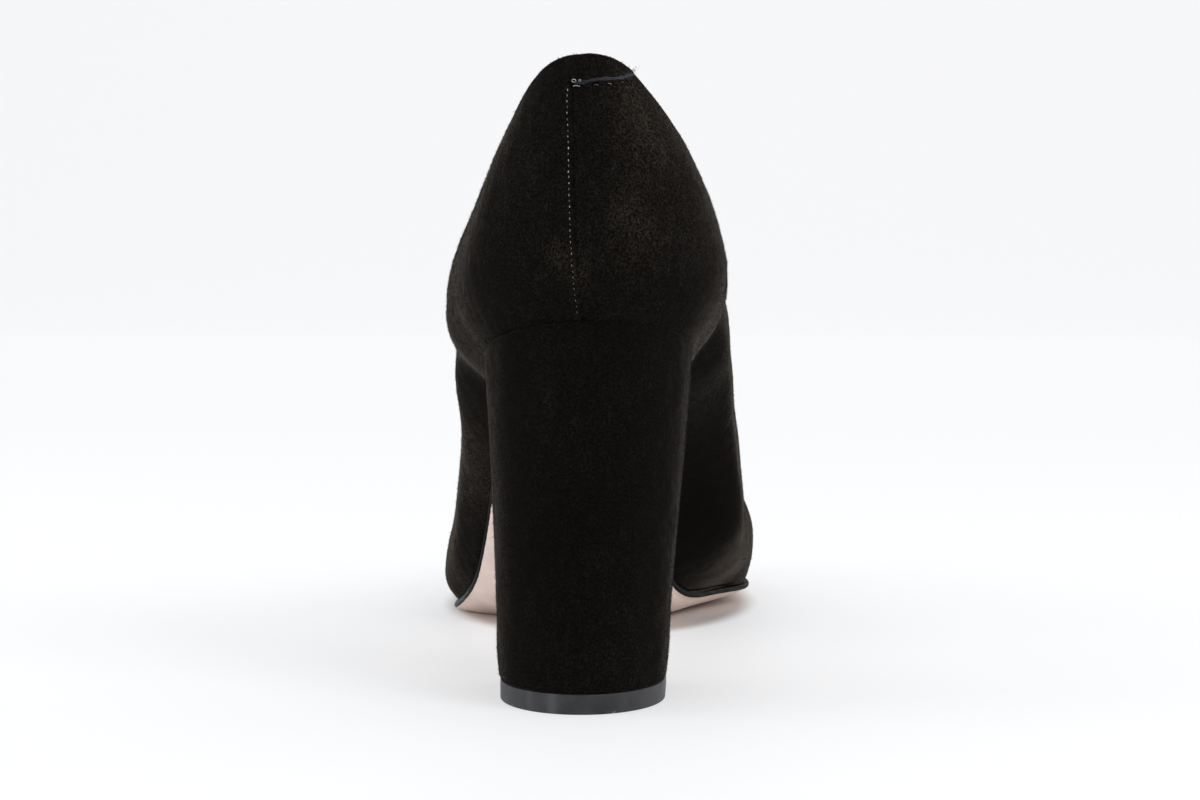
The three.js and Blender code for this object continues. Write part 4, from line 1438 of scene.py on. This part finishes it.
# The studio, in metres and watts.
studio = {
    "width": 5.0,
    "front": -1.6,
    "back": 2.2,
    "round": 0.9,
    "rise": 3.0,
    "floorColour": tint(0.47, 0.47, 0.473),
    # The contacts' painted shadow colour, and the painted light that the paper glows with elsewhere.
    "paintedShadowColour": tint(0.58, 0.525, 0.50),
    "paintedLightColour": tint(0.985, 0.99, 1.0),
    "paintedLightStrength": 0.44,
    "worldColour": tint(0.985, 0.99, 1.0),
    "worldStrength": 0.95,
    # ellipses round the sole's and the lift's contact, in millimetres: middle, half sizes, and how many
    # times its own size the painted shade reaches
    "contacts": [(-0.5, 58.0, 40.0, 60.0, 1.18), (1.8, -98.0, 18.0, 20.0, 1.04)],
    # name, place, what it is aimed at, size, power and colour
    "lights": [
        ("key", (0.8, -0.7, 0.7), (0, -0.05, 0.1), (0.5, 0.5), 5, (1, 1, 1)),
        ("outer", (-1.0, -0.2, 0.35), (0, 0.02, 0.06), (0.5, 0.5), 3, (0.93, 0.96, 1.0)),
        ("backdrop", (0, 1.7, 1.9), (0, 3.1, 0.5), (3.5, 1.0), 4, (1, 1, 1)),
    ],
}


# Sweep's paper: it glows a little as painted light, as under strong light, but not close round the shoe's
# contacts, where a darker brownish colour paints the contact shadow.
def sweepPaper():
    s = Shader("white_sweep")
    paintedLightShare = 1.0
    # The painted light fades out near each contact, leaving painted shade.
    for x, y, halfX, halfY, reach in studio["contacts"]:
        place = s.node("TexCoord").outputs["Object"]
        scale = (1000 / halfX, 1000 / halfY, 0)
        flat = s.node("Mapping", Vector=place, Scale=scale, Location=(-x / halfX, -y / halfY, 0))
        away = s.node("VectorMath", {"operation": "LENGTH"}, i0=flat).outputs["Value"]
        paintedLightShare = s.maths("MULTIPLY", s.ramp(away, 1.0, reach), paintedLightShare)
    return s.finish(
        Base_Color=s.mixColour(paintedLightShare, studio["paintedShadowColour"], studio["floorColour"]),
        Roughness=0.6,
        Specular_IOR_Level=0.2,
        Emission_Color=studio["paintedLightColour"],
        Emission_Strength=s.maths("MULTIPLY", paintedLightShare, studio["paintedLightStrength"]),
    )


# White sweep: a floor that curves up by a quarter circle into a wall behind the shoe.
def makeSweep():
    angle = np.linspace(0, np.pi / 2, 24)
    end = studio["back"] + studio["round"]
    y = np.concatenate([[studio["front"]], studio["back"] + studio["round"] * np.sin(angle), [end]])
    z = np.concatenate([[0.0], studio["round"] * (1 - np.cos(angle)), [studio["rise"]]])
    half = studio["width"] / 2
    points = np.stack([np.stack([np.full_like(y, s * half), y, z], axis=-1) for s in (-1, 1)])
    faces = [gridFaces(2, len(y))[:, ::-1]]
    makePiece("white_sweep", points * 1000 - shift, faces, sweepPaper())


def makeLight(name, place, target, size, power, colour):
    data = bpy.data.lights.new(name, "AREA")
    data.shape = "RECTANGLE"
    data.size, data.size_y = size
    data.energy = power
    data.color = colour
    item = bpy.data.objects.new(name, data)
    item.location = place
    item.rotation_mode = "QUATERNION"
    item.rotation_quaternion = (Vector(target) - Vector(place)).to_track_quat("-Z", "Y")
    bpy.context.scene.collection.objects.link(item)


def makeStudio():
    makeSweep()
    world = bpy.data.worlds.new("white_room")
    world.use_nodes = True
    background = world.node_tree.nodes["Background"]
    background.inputs[0].default_value = studio["worldColour"]
    background.inputs[1].default_value = studio["worldStrength"]
    bpy.context.scene.world = world
    for light in studio["lights"]:
        makeLight(*light)
    settings = bpy.context.scene.view_settings
    settings.view_transform = "Standard"
    settings.look = "None"


makeCamera()
makeStudio()
print("studio made")

upperSuede = suede("upper_suede", upperLook)
heelSuede = suede("heel_suede", heelLook)
liningLeather = smoothLeather("lining_leather", liningLook)
base, normals = upperGrid()
suedeUpper, shownUpper, shownNormals = makeUpper(base, normals, upperSuede)
upperLining = makeLining(base, normals, liningLeather)
print("upper made")
sockInsole = makeSock(liningLeather)
leatherSole = makeOutsole(soleLeather("sole_leather"))
heelCover, shownHeel = makeHeelCover(heelSuede)
rubberLift = makeTopLift(liftRubber("lift_rubber"))
print("sole and heel made")

napFibre = fibre("nap_fibre", *fibreLook["nap"])
atBack = grow(shownUpper[..., 1], 70, 55)
allOver = np.ones(shownHeel.shape[:2])
upperGround = shownUpper, shownNormals
heelGround = shownHeel, gridNormals(shownHeel)
counterNap = makeNap("counter_nap", *upperGround, atBack, nap["backCount"], napFibre, 41, brushedAndLitPlaces)
quarterNap = makeNap("quarter_nap", *upperGround, 1 - atBack, nap["sideCount"], napFibre, 43, brushedAndLitPlaces)
heelNap = makeNap("heel_nap", *heelGround, allOver, nap["heelCount"], napFibre, 45, heelBrushedAndLit)
print("nap made")

# Pale loose fibres: their pale tone paints the sheen at edges that turn out of sight.
fuzzAndPaintedSheen = fibre("fuzz_and_painted_sheen", *fibreLook["fuzz"])
fuzzRandom = np.random.default_rng(fuzz["seed"])
cupFuzzAndSheen = makeCupFuzzAndSheen(fuzzRandom, fuzzAndPaintedSheen)
heelFuzzAndSheen = makeHeelFuzzAndSheen(fuzzRandom, fuzzAndPaintedSheen)
paleThread = thread("pale_thread", *threadLook["pale"])
seamThread = thread("seam_thread", *threadLook["seam"])
rawEdge = thread("raw_edge", *threadLook["rawEdge"])
blueFray = fibre("blue_fray", *fibreLook["fray"])
seamPieces = [
    makeStitches(seamThread),
    makeTabThreads(paleThread),
    makeEdgeThreads(rawEdge),
    makeFray(blueFray),
]
print("fuzz, stitches and tab made")

for piece, node, slot in (
    (suedeUpper, "upper", "upper_suede"),
    (sockInsole, "insole", "sock_leather"),
    (leatherSole, "outsole", "sole_leather"),
    (heelCover, "heel_block", "heel_suede"),
    (rubberLift, "top_lift", "lift_rubber"),
):
    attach(piece, "root")
    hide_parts(node)
for pieces, slot in (
    ([upperLining], "sock_leather"),
    ([counterNap, quarterNap, cupFuzzAndSheen, *seamPieces], "upper_suede"),
    ([heelNap, heelFuzzAndSheen], "heel_suede"),
):
    for piece in pieces:
        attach(piece, "root")
